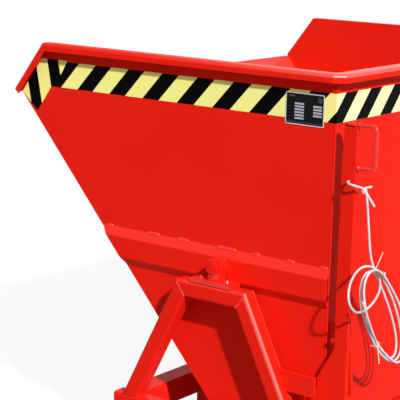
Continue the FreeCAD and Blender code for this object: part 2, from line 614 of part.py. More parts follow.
STOP_Y = f"({SIDE} - stop_plate_gap - stop_plate / 2)"
stop_top = f"{FLOOR} + stop_plate_high"
stop_low = f"{FLOOR} + stop_plate_low"
bracket = slab("stop_bracket", "XZ_Plane",
               [(REAR, stop_top), (f"{REAR} - stop_plate_reach", stop_top),
                (f"{REAR} - stop_plate_foot", stop_low), (REAR, stop_low)], "stop_plate", y=STOP_Y)
STOP_X = f"({LEVER_X} + stop_pin_gap + stop_pin)"
stop_rod = rod("stop_rod", "stop_pin", f"{LEVER_FACE} - {STOP_Y}", STOP_X, STOP_Y, f"{FLOOR} + stop_pin_height", "Y")
keep(fuse("lever_stop", bracket, stop_rod), "lever_stop")

grip_base = Vector(number(LEVER_BACK), number(LEVER_Y), number(f"{LEVER_TOP} - grip_inset"))
reach = number("grip_reach")
drop = number("grip_height")
grip_wire, _ = route_wire([Vector(0, 0, 0), Vector(-reach, 0, 0), Vector(-reach, 0, -drop), Vector(0, 0, -drop)],
                          number("grip_bend"))
shaped("lever_grip", pipe(grip_wire, Vector(0, 0, 0), Vector(-1, 0, 0), number("grip_rod")), grip_base)

# Torsion spring round the lever's pivot: one leg lies on the lever's face

spring_points = []
spring_ways = []
QUARTERS = 4
turns = round(number("spring_turns"))
coil_radius = number("spring_radius")
rise = number("spring_pitch") / QUARTERS
for step in range(QUARTERS * turns + 1):
    angle = math.pi + step * 2 * math.pi / QUARTERS
    spring_points.append(Vector(coil_radius * math.cos(angle), rise * step, coil_radius * math.sin(angle)))
    way = Vector(-math.sin(angle), rise * QUARTERS / (2 * math.pi * coil_radius), math.cos(angle))
    spring_ways.append(way.normalize())
leg = number("spring_leg")
first_leg = spring_points[0] - spring_ways[0] * leg
last_leg = spring_points[-1] + spring_ways[-1] * leg
leg_rise = leg * spring_ways[0].y
spring_edges = biarc_wire(spring_points, spring_ways).Edges
spring_wire = Part.Wire([Part.LineSegment(first_leg, spring_points[0]).toShape(), *spring_edges,
                         Part.LineSegment(spring_points[-1], last_leg).toShape()])
shaped("lever_spring", pipe(spring_wire, first_leg, spring_ways[0], number("spring_wire")),
       Vector(number(PIVOT_X), number(f"{LEVER_FACE} + spring_wire + seat_gap") + leg_rise, number(PIVOT_Z)))
print("spring gap between turns", round(number("spring_pitch - 2 * spring_wire"), 2))

# Castors

PLATE_LOW = "(castor_height - castor_sheet)"
CASTOR_Y = f"({TRESTLE_Y} + rail_width / 2 - pad_width / 2)"
FORK_INNER = "(hub_width / 2 + fork_gap)"
CORE = "(wheel_radius - tyre_wall)"
BORE = "(axle_radius + running_gap)"
RIM_HALF = "(wheel_width / 2)"
HUB_HALF = "(hub_width / 2)"
WEB_HALF = "(core_web / 2)"
CORE_INNER = f"({CORE} - core_ring)"
core_profile = [(f"-{HUB_HALF}", BORE), (f"-{HUB_HALF}", "hub_radius"), (f"-{WEB_HALF}", "hub_radius + fork_gap"),
                (f"-{WEB_HALF}", f"{CORE_INNER} - fork_gap"), (f"-{RIM_HALF}", CORE_INNER), (f"-{RIM_HALF}", CORE),
                (RIM_HALF, CORE), (RIM_HALF, CORE_INNER), (WEB_HALF, f"{CORE_INNER} - fork_gap"),
                (WEB_HALF, "hub_radius + fork_gap"), (HUB_HALF, "hub_radius"), (HUB_HALF, BORE)]
tyre_profile = [(f"-{RIM_HALF}", CORE), (f"-{RIM_HALF}", "wheel_radius - tyre_shoulder"),
                (f"-{RIM_HALF} + tyre_shoulder", "wheel_radius"), (f"{RIM_HALF} - tyre_shoulder", "wheel_radius"),
                (RIM_HALF, "wheel_radius - tyre_shoulder"), (RIM_HALF, CORE)]


def hexagon(name, radius, height, x, y, z, axis):
    item = doc.addObject("Part::Prism", name)
    item.Polygon = 6
    bind(item, Circumradius=radius, Height=height)
    item.Placement = Placement(Vector(), {"Y": Rotation(Vector(1, 0, 0), -90), "Z": Rotation()}[axis])
    place(item, x, y, z)
    return item


def make_axle(name, x, y):
    """A through bolt with a hexagon outside each leg of the fork."""
    half = f"({FORK_INNER} + fork_sheet)"
    shank = rod(f"{name}_shank", "axle_radius", f"2 * {half}", x, f"{y} - {half}", "wheel_radius", "Y")
    head = hexagon(f"{name}_head", "axle_nut", "axle_nut_height", x, f"{y} + {half}", "wheel_radius", "Y")
    nut = hexagon(f"{name}_nut", "axle_nut", "axle_nut_height", x, f"{y} - {half} - axle_nut_height",
                  "wheel_radius", "Y")
    return fuse(name, shank, head, nut)


def bolt_places(x, y):
    return [(f"({x} + {u} * castor_hole_x / 2)", f"({y} + {v} * castor_hole_y / 2)")
            for u in (1, -1) for v in (1, -1)]


def bolt_bores(name, x, y):
    """The four bolt holes through a corner pad and the castor's plate."""
    return [rod(f"{name}_hole_{index}", "castor_bolt", "castor_sheet + pad_sheet", across, along, PLATE_LOW, "Z")
            for index, (across, along) in enumerate(bolt_places(x, y))]


def fork_legs(name, x, y, outline_points):
    legs = []
    for letter, way in (("a", 1), ("b", -1)):
        legs.append(slab(f"{name}_leg_{letter}", "XZ_Plane", outline_points, "fork_sheet",
                         x=x, y=f"{y} + {way} * ({FORK_INNER} + fork_sheet / 2)"))
    return legs


pads = []
bolts = []
front_axles = []
front_forks = []
swivel_plates = []
for end, way in (("front", 1), ("rear", -1)):
    for name, side in SIDES:
        corner = f"{end}_{name}"
        x = f"({AXIS_X} + {way} * (chassis_length / 2 - castor_inset))"
        y = f"({side} * {CASTOR_Y})"
        wheel_x = x if end == "front" else f"({x} - trail)"
        keep(turned(f"{corner}_wheel", core_profile, wheel_x, y, "wheel_radius"), f"{corner}_wheel")
        keep(turned(f"{corner}_tyre", tyre_profile, wheel_x, y, "wheel_radius"), f"{corner}_tyre")
        axle = make_axle(f"{corner}_axle", wheel_x, y)
        axle_bore = rod(f"{corner}_axle_bore", "axle_radius", f"4 * {FORK_INNER}", wheel_x,
                        f"{y} - 2 * {FORK_INNER}", "wheel_radius", "Y")
        pad_box = box(f"{corner}_pad_box", "pad_length", "pad_width", "pad_sheet", x, y, "castor_height")
        pads.append(cut(f"{corner}_pad", pad_box, group(f"{corner}_pad_bores", *bolt_bores(f"{corner}_pad", x, y))))
        for index, (across, along) in enumerate(bolt_places(x, y)):
            bolts.append(fuse(f"{corner}_bolt_{index}",
                              rod(f"{corner}_shank_{index}", "castor_bolt", "castor_sheet + pad_sheet", across, along,
                                  PLATE_LOW, "Z"),
                              hexagon(f"{corner}_head_{index}", "castor_head", "castor_head_height", across, along,
                                      f"{PLATE_LOW} - castor_head_height", "Z")))
        top_plate = box(f"{corner}_top_plate", "castor_plate_x", "castor_plate_y", "castor_sheet", x, y, PLATE_LOW)
        if end == "front":
            front_axles.append(axle)
            legs = fork_legs(corner, x, y,
                             [("-fork_top", PLATE_LOW), ("fork_top", PLATE_LOW), ("fork_eye", "wheel_radius"),
                              ("fork_eye / 2", "wheel_radius - fork_eye"),
                              ("-fork_eye / 2", "wheel_radius - fork_eye"), ("-fork_eye", "wheel_radius")])
            holes = bolt_bores(f"{corner}_fork", x, y)
            front_forks.append(cut(f"{corner}_fork", fuse(f"{corner}_fork", top_plate, *legs),
                                   group(f"{corner}_fork_bores", axle_bore, *holes)))
            continue
        keep(axle, f"{corner}_axle")
        race_low = f"({PLATE_LOW} - race_height)"
        crown_top = f"({race_low} - king_gap)"
        crown_low = f"({crown_top} - castor_sheet)"
        race = rod(f"{corner}_race", "race_radius", "race_height", x, y, race_low, "Z")
        king = rod(f"{corner}_king", "king_radius", f"{race_low} - {crown_low}", x, y, crown_low, "Z")
        plate_holes = group(f"{corner}_plate_bores", *bolt_bores(f"{corner}_plate", x, y))
        swivel_plates.append(cut(f"{corner}_swivel_plate",
                                 fuse(f"{corner}_swivel_plate", top_plate, race, king), plate_holes))
        crown = box(f"{corner}_crown", "crown_front + crown_rear", f"2 * {FORK_INNER}", "castor_sheet",
                    f"{x} + (crown_front - crown_rear) / 2", y, crown_low)
        brake_x = "(-trail - brake_back)"
        brake_z = "(wheel_radius + brake_rise)"
        legs = fork_legs(corner, x, y,
                         [("-crown_rear", crown_top), ("crown_front", crown_top),
                          ("crown_front", f"{crown_low} - crown_skirt"), ("-trail + fork_eye", "wheel_radius"),
                          ("-trail + fork_eye / 2", "wheel_radius - fork_eye"),
                          ("-trail - fork_eye / 2", "wheel_radius - fork_eye"),
                          ("-trail - fork_eye", "wheel_radius"),
                          (f"{brake_x} - brake_ear", f"{brake_z} - brake_ear"),
                          (f"{brake_x} - brake_ear", f"{brake_z} + brake_ear / 2"),
                          (brake_x, f"{brake_z} + brake_ear")])
        king_bore = rod(f"{corner}_king_bore", "king_radius + running_gap", "castor_sheet", x, y, crown_low, "Z")
        pin_y = f"{y} - {FORK_INNER} - fork_sheet"
        pin_length = f"2 * ({FORK_INNER} + fork_sheet)"
        brake_rod = rod(f"{corner}_brake_rod", "brake_pin", pin_length, f"{x} + {brake_x}", pin_y, brake_z, "Y")
        keep(fuse(f"{corner}_fork", cut(f"{corner}_fork", fuse(f"{corner}_fork_shell", crown, *legs),
                                        group(f"{corner}_fork_bores", axle_bore, king_bore)), brake_rod),
             f"{corner}_fork")
        # the cam of the pedal closes on the tyre as the pedal is trodden down
        pedal = slab(f"{corner}_pedal", "XZ_Plane",
                     [("brake_cam / 2", "-brake_cam * sqrt(3) / 2"), ("brake_hub", "-brake_hub / 3"),
                      ("brake_hub", "brake_hub / 2"), ("0", "brake_hub"),
                      ("-brake_pedal / 2", "brake_lift"), ("-brake_pedal", "brake_lift"),
                      ("-brake_pedal", "brake_lift - brake_sheet"), ("-brake_pedal / 2", "brake_lift - brake_sheet"),
                      ("-brake_hub", "0"), ("-brake_hub / 2", "-brake_hub")],
                     "brake_width", x=f"{x} + {brake_x}", y=y, z=brake_z)
        pedal_bore = rod(f"{corner}_pedal_bore", "brake_pin + running_gap", "2 * brake_width", f"{x} + {brake_x}",
                         f"{y} - brake_width", brake_z, "Y")
        keep(cut(f"{corner}_brake", pedal, pedal_bore), f"{corner}_brake")
keep(group("castor_pads", *pads), "castor_pads")
keep(group("castor_bolts", *bolts), "castor_bolts")
keep(group("front_axles", *front_axles), "front_axles")
keep(group("front_forks", *front_forks), "front_forks")
keep(group("swivel_plates", *swivel_plates), "swivel_plates")

# Pull cord: out of the lever's hole, over its outer face, round its rear edge and down to the tied coil

cord_radius = number("cord_radius")
hole = Vector(number(f"{LEVER_X} - lever_width / 2"), number(LEVER_Y), number(f"{RIM} - cord_hole_drop"))
TIE = Vector(-45.5, -48, -200)
TIE_WAY = Vector(-0.06, -0.5, -0.86).normalize()
CORD = [Vector(0, -5, 0), Vector(-0.5, 14, -1), Vector(-17, 18, -9), Vector(-35, 6, -21), Vector(-39.5, -8, -46),
        Vector(-41.2, -15, -84), Vector(-42.5, -20.5, -126), TIE - TIE_WAY * 38, TIE]
cord_wire, cord_radii = route_wire(CORD)
shaped("pull_cord", pipe(cord_wire, CORD[0], (CORD[1] - CORD[0]).normalize(), cord_radius), hole)
print("cord length", round(cord_wire.Length), "radii", [round(radius, 1) for radius in cord_radii])

# Coil: turns through the tie, each drawn in the coil's leaning plane as (sideways, up, layers back) from the tie
FIRST = [(-26, -42, 0), (-50, -84, 0), (-68, -126, 0), (-78, -164, 0), (-73, -193, 0), (-48, -202, 0),
         (-16, -183, 0), (16, -150, 0), (43, -112, 0), (61, -72, 0), (67, -30, 0), (56, 2, 0.33), (28, 12, 0.67)]
ROUND = [(-8, -22, 1), (-3, -40, 1), (14, -54, 1), (38, -64, 1), (66, -70, 1), (94, -67, 1), (117, -50, 1),
         (125, -24, 1), (113, 2, 1), (88, 20, 1), (60, 27, 1.33), (28, 20, 1.67)]
THIRD = [(-30, -40, 2), (-58, -82, 1.8), (-78, -126, 1.5), (-88, -166, 1.2), (-80, -199, 0.9), (-50, -208, 0.7),
         (-13, -187, 0.55), (20, -153.3, 0.5), (47.5, -114, 1), (66, -66, 2), (74, -22, 2), (60, 10, 2.33),
         (28, 17, 2.67)]
LOOSE = [(-33, -37, 3), (-66, -78, 2.7), (-90, -122, 2.4), (-100, -164, 2.1), (-92, -200, 2), (-60, -213, 1.75),
         (-22, -187, 1.35), (16, -150, 1), (49, -112, 2.3), (72, -76, 3), (87, -42, 3)]
LEAN = 0.1
pitch = number("coil_pitch")


def coil_point(sideways, up, layer):
    return TIE + Vector(LEAN * up - pitch * layer, sideways, up)


coil_points = [TIE]
for layer, loop in enumerate((FIRST, ROUND, THIRD, LOOSE)):
    coil_points += [coil_point(*point) for point in loop]
    if loop is not LOOSE:
        coil_points.append(coil_point(0, 0, layer + 1))
coil_ways = []
for index, point in enumerate(coil_points):
    on_tie = abs(point.y - TIE.y) < 1e-6 and abs(point.z - TIE.z) < 1e-6
    before = coil_points[max(0, index - 1)]
    after = coil_points[min(len(coil_points) - 1, index + 1)]
    coil_ways.append(TIE_WAY if on_tie else (after - before).normalize())
straight = 2 * cord_radius
coil_end = coil_points[-1] + coil_ways[-1] * straight
coil_points[0] = TIE + TIE_WAY * straight
coil_wire = Part.Wire([Part.LineSegment(TIE, coil_points[0]).toShape(), *biarc_wire(coil_points, coil_ways).Edges,
                       Part.LineSegment(coil_points[-1], coil_end).toShape()])
coil_tube = pipe(coil_wire, TIE, TIE_WAY, cord_radius)
shaped("cord_coil", coil_tube, hole)
samples = coil_wire.discretize(Distance=cord_radius)
print("coil length", round(coil_wire.Length), "least gap", round(least_gap(samples, 12, 2 * cord_radius), 2),
      "volume share", round(coil_tube.Volume / (math.pi * cord_radius ** 2 * coil_wire.Length), 4))
print("coil radii", sorted(round(edge.Curve.Radius) for edge in coil_wire.Edges if hasattr(edge.Curve, "Radius"))[:6])

# Cable ties round the strands at the top of the coil and low on its outer side


def tie_band(centre, way, layers, rows, tail_side, tail_way, tail_length):
    """A flat band round a bundle of strands, with the strap's loose tail at one end of it."""
    side = Vector(1, 0, 0) - way * way.x
    side.normalize()
    across = way.cross(side)
    sheet_size = number("tie_sheet")
    height = number("tie_height")
    inner_long = layers * pitch + 2 * cord_radius + number("tie_fit")
    inner_short = rows * pitch + 2 * cord_radius + number("tie_fit")
    outer = Part.makeBox(inner_long + 2 * sheet_size, inner_short + 2 * sheet_size, height)
    outer.translate(Vector(-inner_long / 2 - sheet_size, -inner_short / 2 - sheet_size, -height / 2))
    inner = Part.makeBox(inner_long, inner_short, 2 * height)
    inner.translate(Vector(-inner_long / 2, -inner_short / 2, -height))
    band = outer.cut(inner)
    band.Placement = Placement(centre, Rotation(side, across, way, "ZXY"))
    tail_size = number("tie_tail")
    tail = Part.makeBox(tail_size, sheet_size, tail_length)
    tail.translate(Vector(-tail_size / 2, -sheet_size / 2, 0))
    start = centre + side * (tail_side * (inner_long / 2 + tail_size / 2))
    tail.transformShape(Placement(start, Rotation(Vector(0, 0, 1), tail_way)).toMatrix())
    return band.fuse(tail)


OUTWARD = Vector(0, 0.77, -0.64)
row_step = Vector(*coil_point(*THIRD[7])).sub(coil_point(*FIRST[7])).dot(OUTWARD)
low_tie = coil_point(*FIRST[7]) + OUTWARD * (row_step / 2) - Vector(pitch / 2, 0, 0)
low_way = (coil_point(*FIRST[8]) - coil_point(*FIRST[6])).normalize()
upper = tie_band(TIE - Vector(1.5 * pitch, 0, 0), TIE_WAY, 3, 0, 1, Vector(-0.05, -0.6, 0.8).normalize(), 50)
lower = tie_band(low_tie, low_way, 1, row_step / pitch, -1, Vector(-0.1, -0.05, -1).normalize(), 42)
shaped("cable_ties", Part.makeCompound([upper, lower]), hole)

# Every piece must be sound before it is written

doc.recompute()
for item in doc.Objects:
    if "Invalid" in item.State or "Error" in item.State:
        raise RuntimeError(f"{item.Name} {item.Label}: {item.State}")
os.makedirs("parts", exist_ok=True)
total = 0
for item in finished:
    shape = item.Shape
    if not shape.isValid() or not shape.Solids or shape.Volume <= 0:
        raise RuntimeError(f"{item.Label} is not sound")
    shape.exportStep(f"parts/{item.Label}.step")
    total += len(shape.Solids)
print("pieces", len(finished), "solids", total)
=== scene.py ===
import json
import math
import bmesh
import bpy
import numpy as np
from mathutils import Matrix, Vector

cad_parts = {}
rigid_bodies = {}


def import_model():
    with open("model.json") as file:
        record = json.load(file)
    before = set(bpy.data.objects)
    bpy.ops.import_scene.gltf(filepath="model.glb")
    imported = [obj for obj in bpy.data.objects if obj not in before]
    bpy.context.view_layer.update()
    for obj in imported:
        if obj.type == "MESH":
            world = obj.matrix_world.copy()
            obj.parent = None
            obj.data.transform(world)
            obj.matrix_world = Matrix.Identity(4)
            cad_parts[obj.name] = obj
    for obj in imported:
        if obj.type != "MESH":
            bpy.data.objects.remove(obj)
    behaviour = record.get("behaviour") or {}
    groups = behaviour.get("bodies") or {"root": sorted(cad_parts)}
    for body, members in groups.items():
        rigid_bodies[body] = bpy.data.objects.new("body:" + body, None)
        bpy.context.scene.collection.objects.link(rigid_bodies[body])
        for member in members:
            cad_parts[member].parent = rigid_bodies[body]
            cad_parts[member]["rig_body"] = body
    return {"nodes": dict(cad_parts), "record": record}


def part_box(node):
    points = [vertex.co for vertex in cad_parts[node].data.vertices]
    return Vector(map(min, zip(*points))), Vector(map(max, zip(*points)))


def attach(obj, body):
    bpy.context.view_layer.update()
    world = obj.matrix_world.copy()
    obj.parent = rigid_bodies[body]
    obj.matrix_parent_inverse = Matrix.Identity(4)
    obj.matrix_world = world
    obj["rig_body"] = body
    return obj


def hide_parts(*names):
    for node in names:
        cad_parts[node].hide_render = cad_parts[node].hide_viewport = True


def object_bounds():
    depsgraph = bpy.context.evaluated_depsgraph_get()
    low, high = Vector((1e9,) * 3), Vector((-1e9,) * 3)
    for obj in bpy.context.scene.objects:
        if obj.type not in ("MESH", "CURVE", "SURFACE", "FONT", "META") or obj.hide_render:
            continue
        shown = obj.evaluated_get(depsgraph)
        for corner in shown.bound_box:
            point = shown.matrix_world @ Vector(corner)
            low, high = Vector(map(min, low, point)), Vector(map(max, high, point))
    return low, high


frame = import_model()
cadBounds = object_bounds()
nodes = frame["nodes"]
scene = bpy.context.scene
scene.view_settings.view_transform = "Standard"

# where the skip stands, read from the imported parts, in metres, and the frame's three axes
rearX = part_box("rear_wall")[0].x
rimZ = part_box("rear_rim")[1].z
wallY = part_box("left_side_wall")[1].y
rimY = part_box("left_rim")[1].y
xWay, yWay, zWay = np.eye(3)
# the sharpest angle that is shaded smooth, in degrees, on folded sheet and on beads and cord
foldAngle, beadAngle = 32, 60
print("frame loaded", len(nodes), "nodes, rear at", round(rearX, 4), "rim at", round(rimZ, 4))

# camera: the photograph's angle, from behind the left rear corner and a little above the rim
view = {"place": (-2.00175, 3.1625, 1.419), "yaw": -52.88, "pitch": -11.78, "roll": 1.47, "lens": 129.74,
        "sensor": 36.0}


# vectors over their own lengths
def unit(vectors):
    return np.array(vectors) / np.linalg.norm(vectors, axis=-1, keepdims=True)


# angles round a circle, in even steps
def fullTurn(steps):
    return np.linspace(0.0, 2 * np.pi, steps, endpoint=False)


# each point's distance from the first, along the line
def reachAlong(line):
    return np.concatenate([[0.0], np.cumsum(np.linalg.norm(np.diff(line, axis=0), axis=1))])


# the turn whose columns are an object's own right, up and back
def turnTo(right, up, back):
    return Matrix(np.array([right, up, back]).T.tolist()).to_4x4()


# the camera's axes: forward from yaw and pitch, right level with the floor, then both turned by the roll
def makeCamera():
    yaw, pitch, roll = (math.radians(view[key]) for key in ("yaw", "pitch", "roll"))
    level = np.array([math.cos(yaw), math.sin(yaw), 0.0])
    forward = level * math.cos(pitch) + zWay * math.sin(pitch)
    right = np.array([level[1], -level[0], 0.0])
    up = np.cross(right, forward)
    turnedRight = math.cos(roll) * right + math.sin(roll) * up
    turnedUp = -math.sin(roll) * right + math.cos(roll) * up
    data = bpy.data.cameras.new("photoCamera")
    data.lens, data.sensor_width, data.sensor_fit = view["lens"], view["sensor"], "HORIZONTAL"
    camera = bpy.data.objects.new("photoCamera", data)
    camera.matrix_world = Matrix.Translation(view["place"]) @ turnTo(turnedRight, turnedUp, -forward)
    scene.collection.objects.link(camera)
    scene.camera = camera


makeCamera()
print("camera set")


# one socket's value in a material; sums on it add Math nodes
class Wire:
    def __init__(self, finish, socket):
        self.finish, self.socket = finish, socket

    def math(self, operation, other=0.0, swap=False):
        pair = {0: other, 1: self} if swap else {0: self, 1: other}
        return self.finish.add("ShaderNodeMath", {"operation": operation}, pair)

    def __add__(self, other):
        return self.math("ADD", other)

    __radd__ = __add__

    def __sub__(self, other):
        return self.math("SUBTRACT", other)

    def __rsub__(self, other):
        return self.math("SUBTRACT", other, swap=True)

    def __mul__(self, other):
        return self.math("MULTIPLY", other)

    __rmul__ = __mul__

    def __truediv__(self, other):
        return self.math("DIVIDE", other)

    def __rtruediv__(self, other):
        return self.math("DIVIDE", other, swap=True)

    def __abs__(self):
        return self.math("ABSOLUTE")

    def __gt__(self, other):
        return self.math("GREATER_THAN", other)

    def __lt__(self, other):
        return self.math("LESS_THAN", other)

    def least(self, other):
        return self.math("MINIMUM", other)

    def most(self, other):
        return self.math("MAXIMUM", other)

    def part(self):
        return self.math("FRACT")

    # 0 below the first edge, 1 above the second, smooth between
    def ramp(self, low, high):
        sockets = {"Value": self, "From Min": low, "From Max": high}
        return self.finish.add("ShaderNodeMapRange", {"interpolation_type": "SMOOTHSTEP"}, sockets)


# one material, or the world, by its name, and the method that adds its nodes
class Finish:
    def __init__(self, name, kind="materials"):
        self.owner = getattr(bpy.data, kind).new(name)
        self.owner.use_nodes = True
        self.tree = self.owner.node_tree
        self.tree.nodes.clear()

    # settings first, then sockets: a wire is linked, and a tuple is a colour with alpha 1
    def add(self, kind, settings=None, sockets=None, out=0):
        node = self.tree.nodes.new(kind)
        for key, value in (settings or {}).items():
            setattr(node, key, value)
        for key, value in (sockets or {}).items():
            if isinstance(value, Wire):
                self.tree.links.new(value.socket, node.inputs[key])
            else:
                node.inputs[key].default_value = (*value, 1.0) if isinstance(value, tuple) else value
        return Wire(self, node.outputs[out]) if len(node.outputs) else node

    # the mesh's own place, x, y, z in metres
    def place(self):
        return self.add("ShaderNodeTexCoord", out="Object")

    # the two measures that a mesh carries in its UV layer
    def measures(self):
        return self.split(self.add("ShaderNodeUVMap", {"uv_map": "along"}))[:2]

    def split(self, vector):
        node = self.add("ShaderNodeSeparateXYZ", None, {0: vector}).socket.node
        return [Wire(self, socket) for socket in node.outputs]

    # a noise in the dictionaries is (scale, detail), with or without its roughness
    def noise(self, vector, scale, detail, roughness=0.55):
        sockets = {"Vector": vector, "Scale": scale, "Detail": detail, "Roughness": roughness}
        return self.add("ShaderNodeTexNoise", None, sockets)

    # the distance to the nearest of many scattered points
    def cells(self, vector, scale):
        sockets = {"Vector": vector, "Scale": scale}
        return self.add("ShaderNodeTexVoronoi", {"feature": "F1"}, sockets, "Distance")

    # a Mix node's colours are its sockets 6 and 7
    def blend(self, share, first, second):
        return self.add("ShaderNodeMix", {"data_type": "RGBA"}, {0: share, 6: first, 7: second}, out=2)

    # a bump in the dictionaries is (distance, strength)
    def bump(self, height, distance, strength):
        sockets = {"Height": height, "Distance": distance, "Strength": strength}
        return self.add("ShaderNodeBump", None, sockets)

    def close(self, sockets):
        shader = self.add("ShaderNodeBsdfPrincipled", None, sockets)
        self.add("ShaderNodeOutputMaterial", None, {"Surface": shader})
        return self.owner


# powder coat: two close reds by a broad noise, a fine orange peel, dust on what faces up and grime near the
# floor; of its kinds, edges is glossy where the mesh marks a round edge and has a painted highlight there, a
# paler pink, slope is glossy where it faces up, with a painted reflection, a darker and pinker red, and the
# same painted highlight, and walls has painted shade, a darker red, inside the skip, past the middle of the
# sheet
paintLook = {
    "red": (0.81, 0.0142, 0.0056), "deepRed": (0.77, 0.0126, 0.0051), "broad": (3.2, 4.0),
    "broadEdges": (0.35, 0.7), "fine": (60.0, 3.0), "fineRough": 0.10, "peel": (420.0, 2.0),
    "peelBump": (0.0002, 0.5), "ior": 1.5, "dust": (0.56, 0.16, 0.11), "dustFacing": (0.4, 1.0),
    "dustEdges": (0.42, 0.75), "dustShare": 0.06, "grime": (0.12, 0.045, 0.035),
    # painted highlight: thin is the pale pink that marked and coated places are blended toward
    "grimeEdges": (0.40, 0.72), "grimeShare": 0.55, "grimeRough": 0.4, "thin": (0.95, 0.16, 0.12),
    "paintedHighlightShare": 0.30, "paintedHighlightNoise": 0.5, "paintedHighlightBase": 0.75, "coatRough": 0.36, "coatIor": 1.55,
    "inner": (0.745, 0.0163, 0.0066), "halfSheet": 0.0015, "paintedSlopeReflection": (0.63, 0.0190, 0.0110),
    "slopeFacing": (0.3, 0.5), "slopeCoat": 0.55}


def redPaint(name, grimeTop=0.02, rough=0.34, shine=0.03, kind=None):
    look = paintLook
    finish = Finish(name)
    place = finish.place()
    along, across, height = finish.split(place)
    facing = finish.split(finish.add("ShaderNodeTexCoord", out="Normal"))[2]
    broad, fine, peel = (finish.noise(place, *look[key]) for key in ("broad", "fine", "peel"))
    dusty = facing.ramp(*look["dustFacing"]) * fine.ramp(*look["dustEdges"]) * look["dustShare"]
    grimy = (1.0 - height.ramp(0.0, grimeTop)) * fine.ramp(*look["grimeEdges"]) * look["grimeShare"]
    colour = finish.blend(broad.ramp(*look["broadEdges"]), look["red"], look["deepRed"])
    colour = finish.blend(dusty, colour, look["dust"])
    colour = finish.blend(grimy, colour, look["grime"])
    sockets = {"Roughness": fine * look["fineRough"] + grimy * look["grimeRough"] + rough, "IOR": look["ior"],
               "Specular IOR Level": shine, "Normal": finish.bump(peel, *look["peelBump"])}
    coat = None
    if kind == "walls":
        # painted shade: the walls' inside faces take a darker red
        inner = (abs(across) < wallY - look["halfSheet"]) * (along > rearX + look["halfSheet"])
        colour = finish.blend(inner, colour, look["inner"])
    elif kind == "slope":
        # painted reflection: the slope's up-facing inside takes a darker, pinker red, and its coat a painted
        # highlight
        inner = facing.ramp(*look["slopeFacing"])
        colour = finish.blend(inner, colour, look["paintedSlopeReflection"])
        coat = inner * look["slopeCoat"]
    elif kind == "edges":
        coat = finish.add("ShaderNodeAttribute", {"attribute_name": "edge"}, out="Fac")
    if coat is not None:
        # painted highlight: where there is coat, the colour is blended toward the pale pink
        thin = coat * (fine * look["paintedHighlightNoise"] + look["paintedHighlightBase"]) * look["paintedHighlightShare"]
        colour = finish.blend(thin, colour, look["thin"])
        sockets |= {"Coat Weight": coat, "Coat Roughness": look["coatRough"], "Coat IOR": look["coatIor"]}
    return finish.close({"Base Color": colour, **sockets})


# zinc plate: bright or dull by a smear, its roughness by the smear and by spangle cells
zincLook = {
    "bright": (1.0, 1.0, 1.02), "dull": (0.72, 0.71, 0.70), "spangle": 140.0, "spangleRough": 0.18,
    "smear": (35.0, 4.0), "smearEdges": (0.3, 0.75), "smearRough": 0.14, "smearBump": (0.0003, 0.5)}


def zincPlate(name, tone, rough):
    look = zincLook
    finish = Finish(name)
    place = finish.place()
    spangle, smear = finish.cells(place, look["spangle"]), finish.noise(place, *look["smear"])
    bright, dull = (tuple(tone * share for share in look[key]) for key in ("bright", "dull"))
    return finish.close({
        "Base Color": finish.blend(smear.ramp(*look["smearEdges"]), bright, dull), "Metallic": 1.0,
        "Roughness": spangle * look["spangleRough"] + smear * look["smearRough"] + rough,
        "Normal": finish.bump(smear, *look["smearBump"])})


# rubber and moulded plastic: one colour, worn in patches, fine moulding grain
mouldLook = {"patch": (22.0, 5.0), "patchEdges": (0.5, 0.8), "patchRough": 0.15, "grain": (380.0, 2.0),
             "grainBump": (0.0004, 0.5)}


def moulded(name, colour, worn, rough):
    look = mouldLook
    finish = Finish(name)
    place = finish.place()
    patch, grain = (finish.noise(place, *look[key]) for key in ("patch", "grain"))
    return finish.close({
        "Base Color": finish.blend(patch.ramp(*look["patchEdges"]), colour, worn),
        "Roughness": patch * look["patchRough"] + rough, "Normal": finish.bump(grain, *look["grainBump"])})


skipRed = redPaint("skipRed")
chassisRed = redPaint("chassisRed", grimeTop=0.30, rough=0.32, shine=0.05)
turnedRed = redPaint("turnedRed", shine=0.14)
frontRed = redPaint("frontRed", kind="slope")
wallRed = redPaint("wallRed", kind="walls")
rimRed = redPaint("rimRed", kind="edges")
tubeRed = redPaint("tubeRed", grimeTop=0.30, rough=0.32, kind="edges")
glossRed = redPaint("glossRed", rough=0.26, shine=0.50)
zincSteel = zincPlate("zincSteel", tone=0.62, rough=0.24)
pedalSteel = zincPlate("pedalSteel", tone=0.50, rough=0.30)
wheelCore = moulded("wheelCore", (0.30, 0.31, 0.32), (0.36, 0.36, 0.36), rough=0.42)
tyreRubber = moulded("tyreRubber", (0.020, 0.020, 0.021), (0.055, 0.052, 0.048), rough=0.62)
bufferRubber = moulded("bufferRubber", (0.014, 0.014, 0.014), (0.035, 0.034, 0.032), rough=0.70)
tiePlastic = moulded("tiePlastic", (0.80, 0.54, 0.40), (0.74, 0.46, 0.33), rough=0.38)
slotLook = {"red_paint": chassisRed, "zinc_steel": zincSteel, "wheel_core": wheelCore,
            "tyre_rubber": tyreRubber, "pedal_steel": pedalSteel, "buffer_rubber": bufferRubber,
            "cord_fibre": tiePlastic, "tie_plastic": tiePlastic}
# blocks and turned pieces are a little shinier than the sheet; the skip's walls have painted shade inside
nodeLook = {"trunnion_washers": turnedRed, "_bearing": glossRed, "bearing_bolts": glossRed,
            # the front wall's slope has a painted reflection
            "lever_grip": glossRed, "front_wall": frontRed, "_side_wall": wallRed, "rear_wall": wallRed}


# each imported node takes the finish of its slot, or its own; the skip's paint has no grime from the floor
def dressNodes():
    slotOf = {part["node"]: part["material_slot"] for part in frame["record"]["subparts"]}
    for name, node in nodes.items():
        finish = slotLook[slotOf[name]]
        if finish is chassisRed and node["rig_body"] in ("skip", "release_lever"):
            finish = skipRed
        finish = next((look for ending, look in nodeLook.items() if name.endswith(ending)), finish)
        node.data.materials.clear()
        node.data.materials.append(finish)


dressNodes()
print("finishes on the packed nodes")
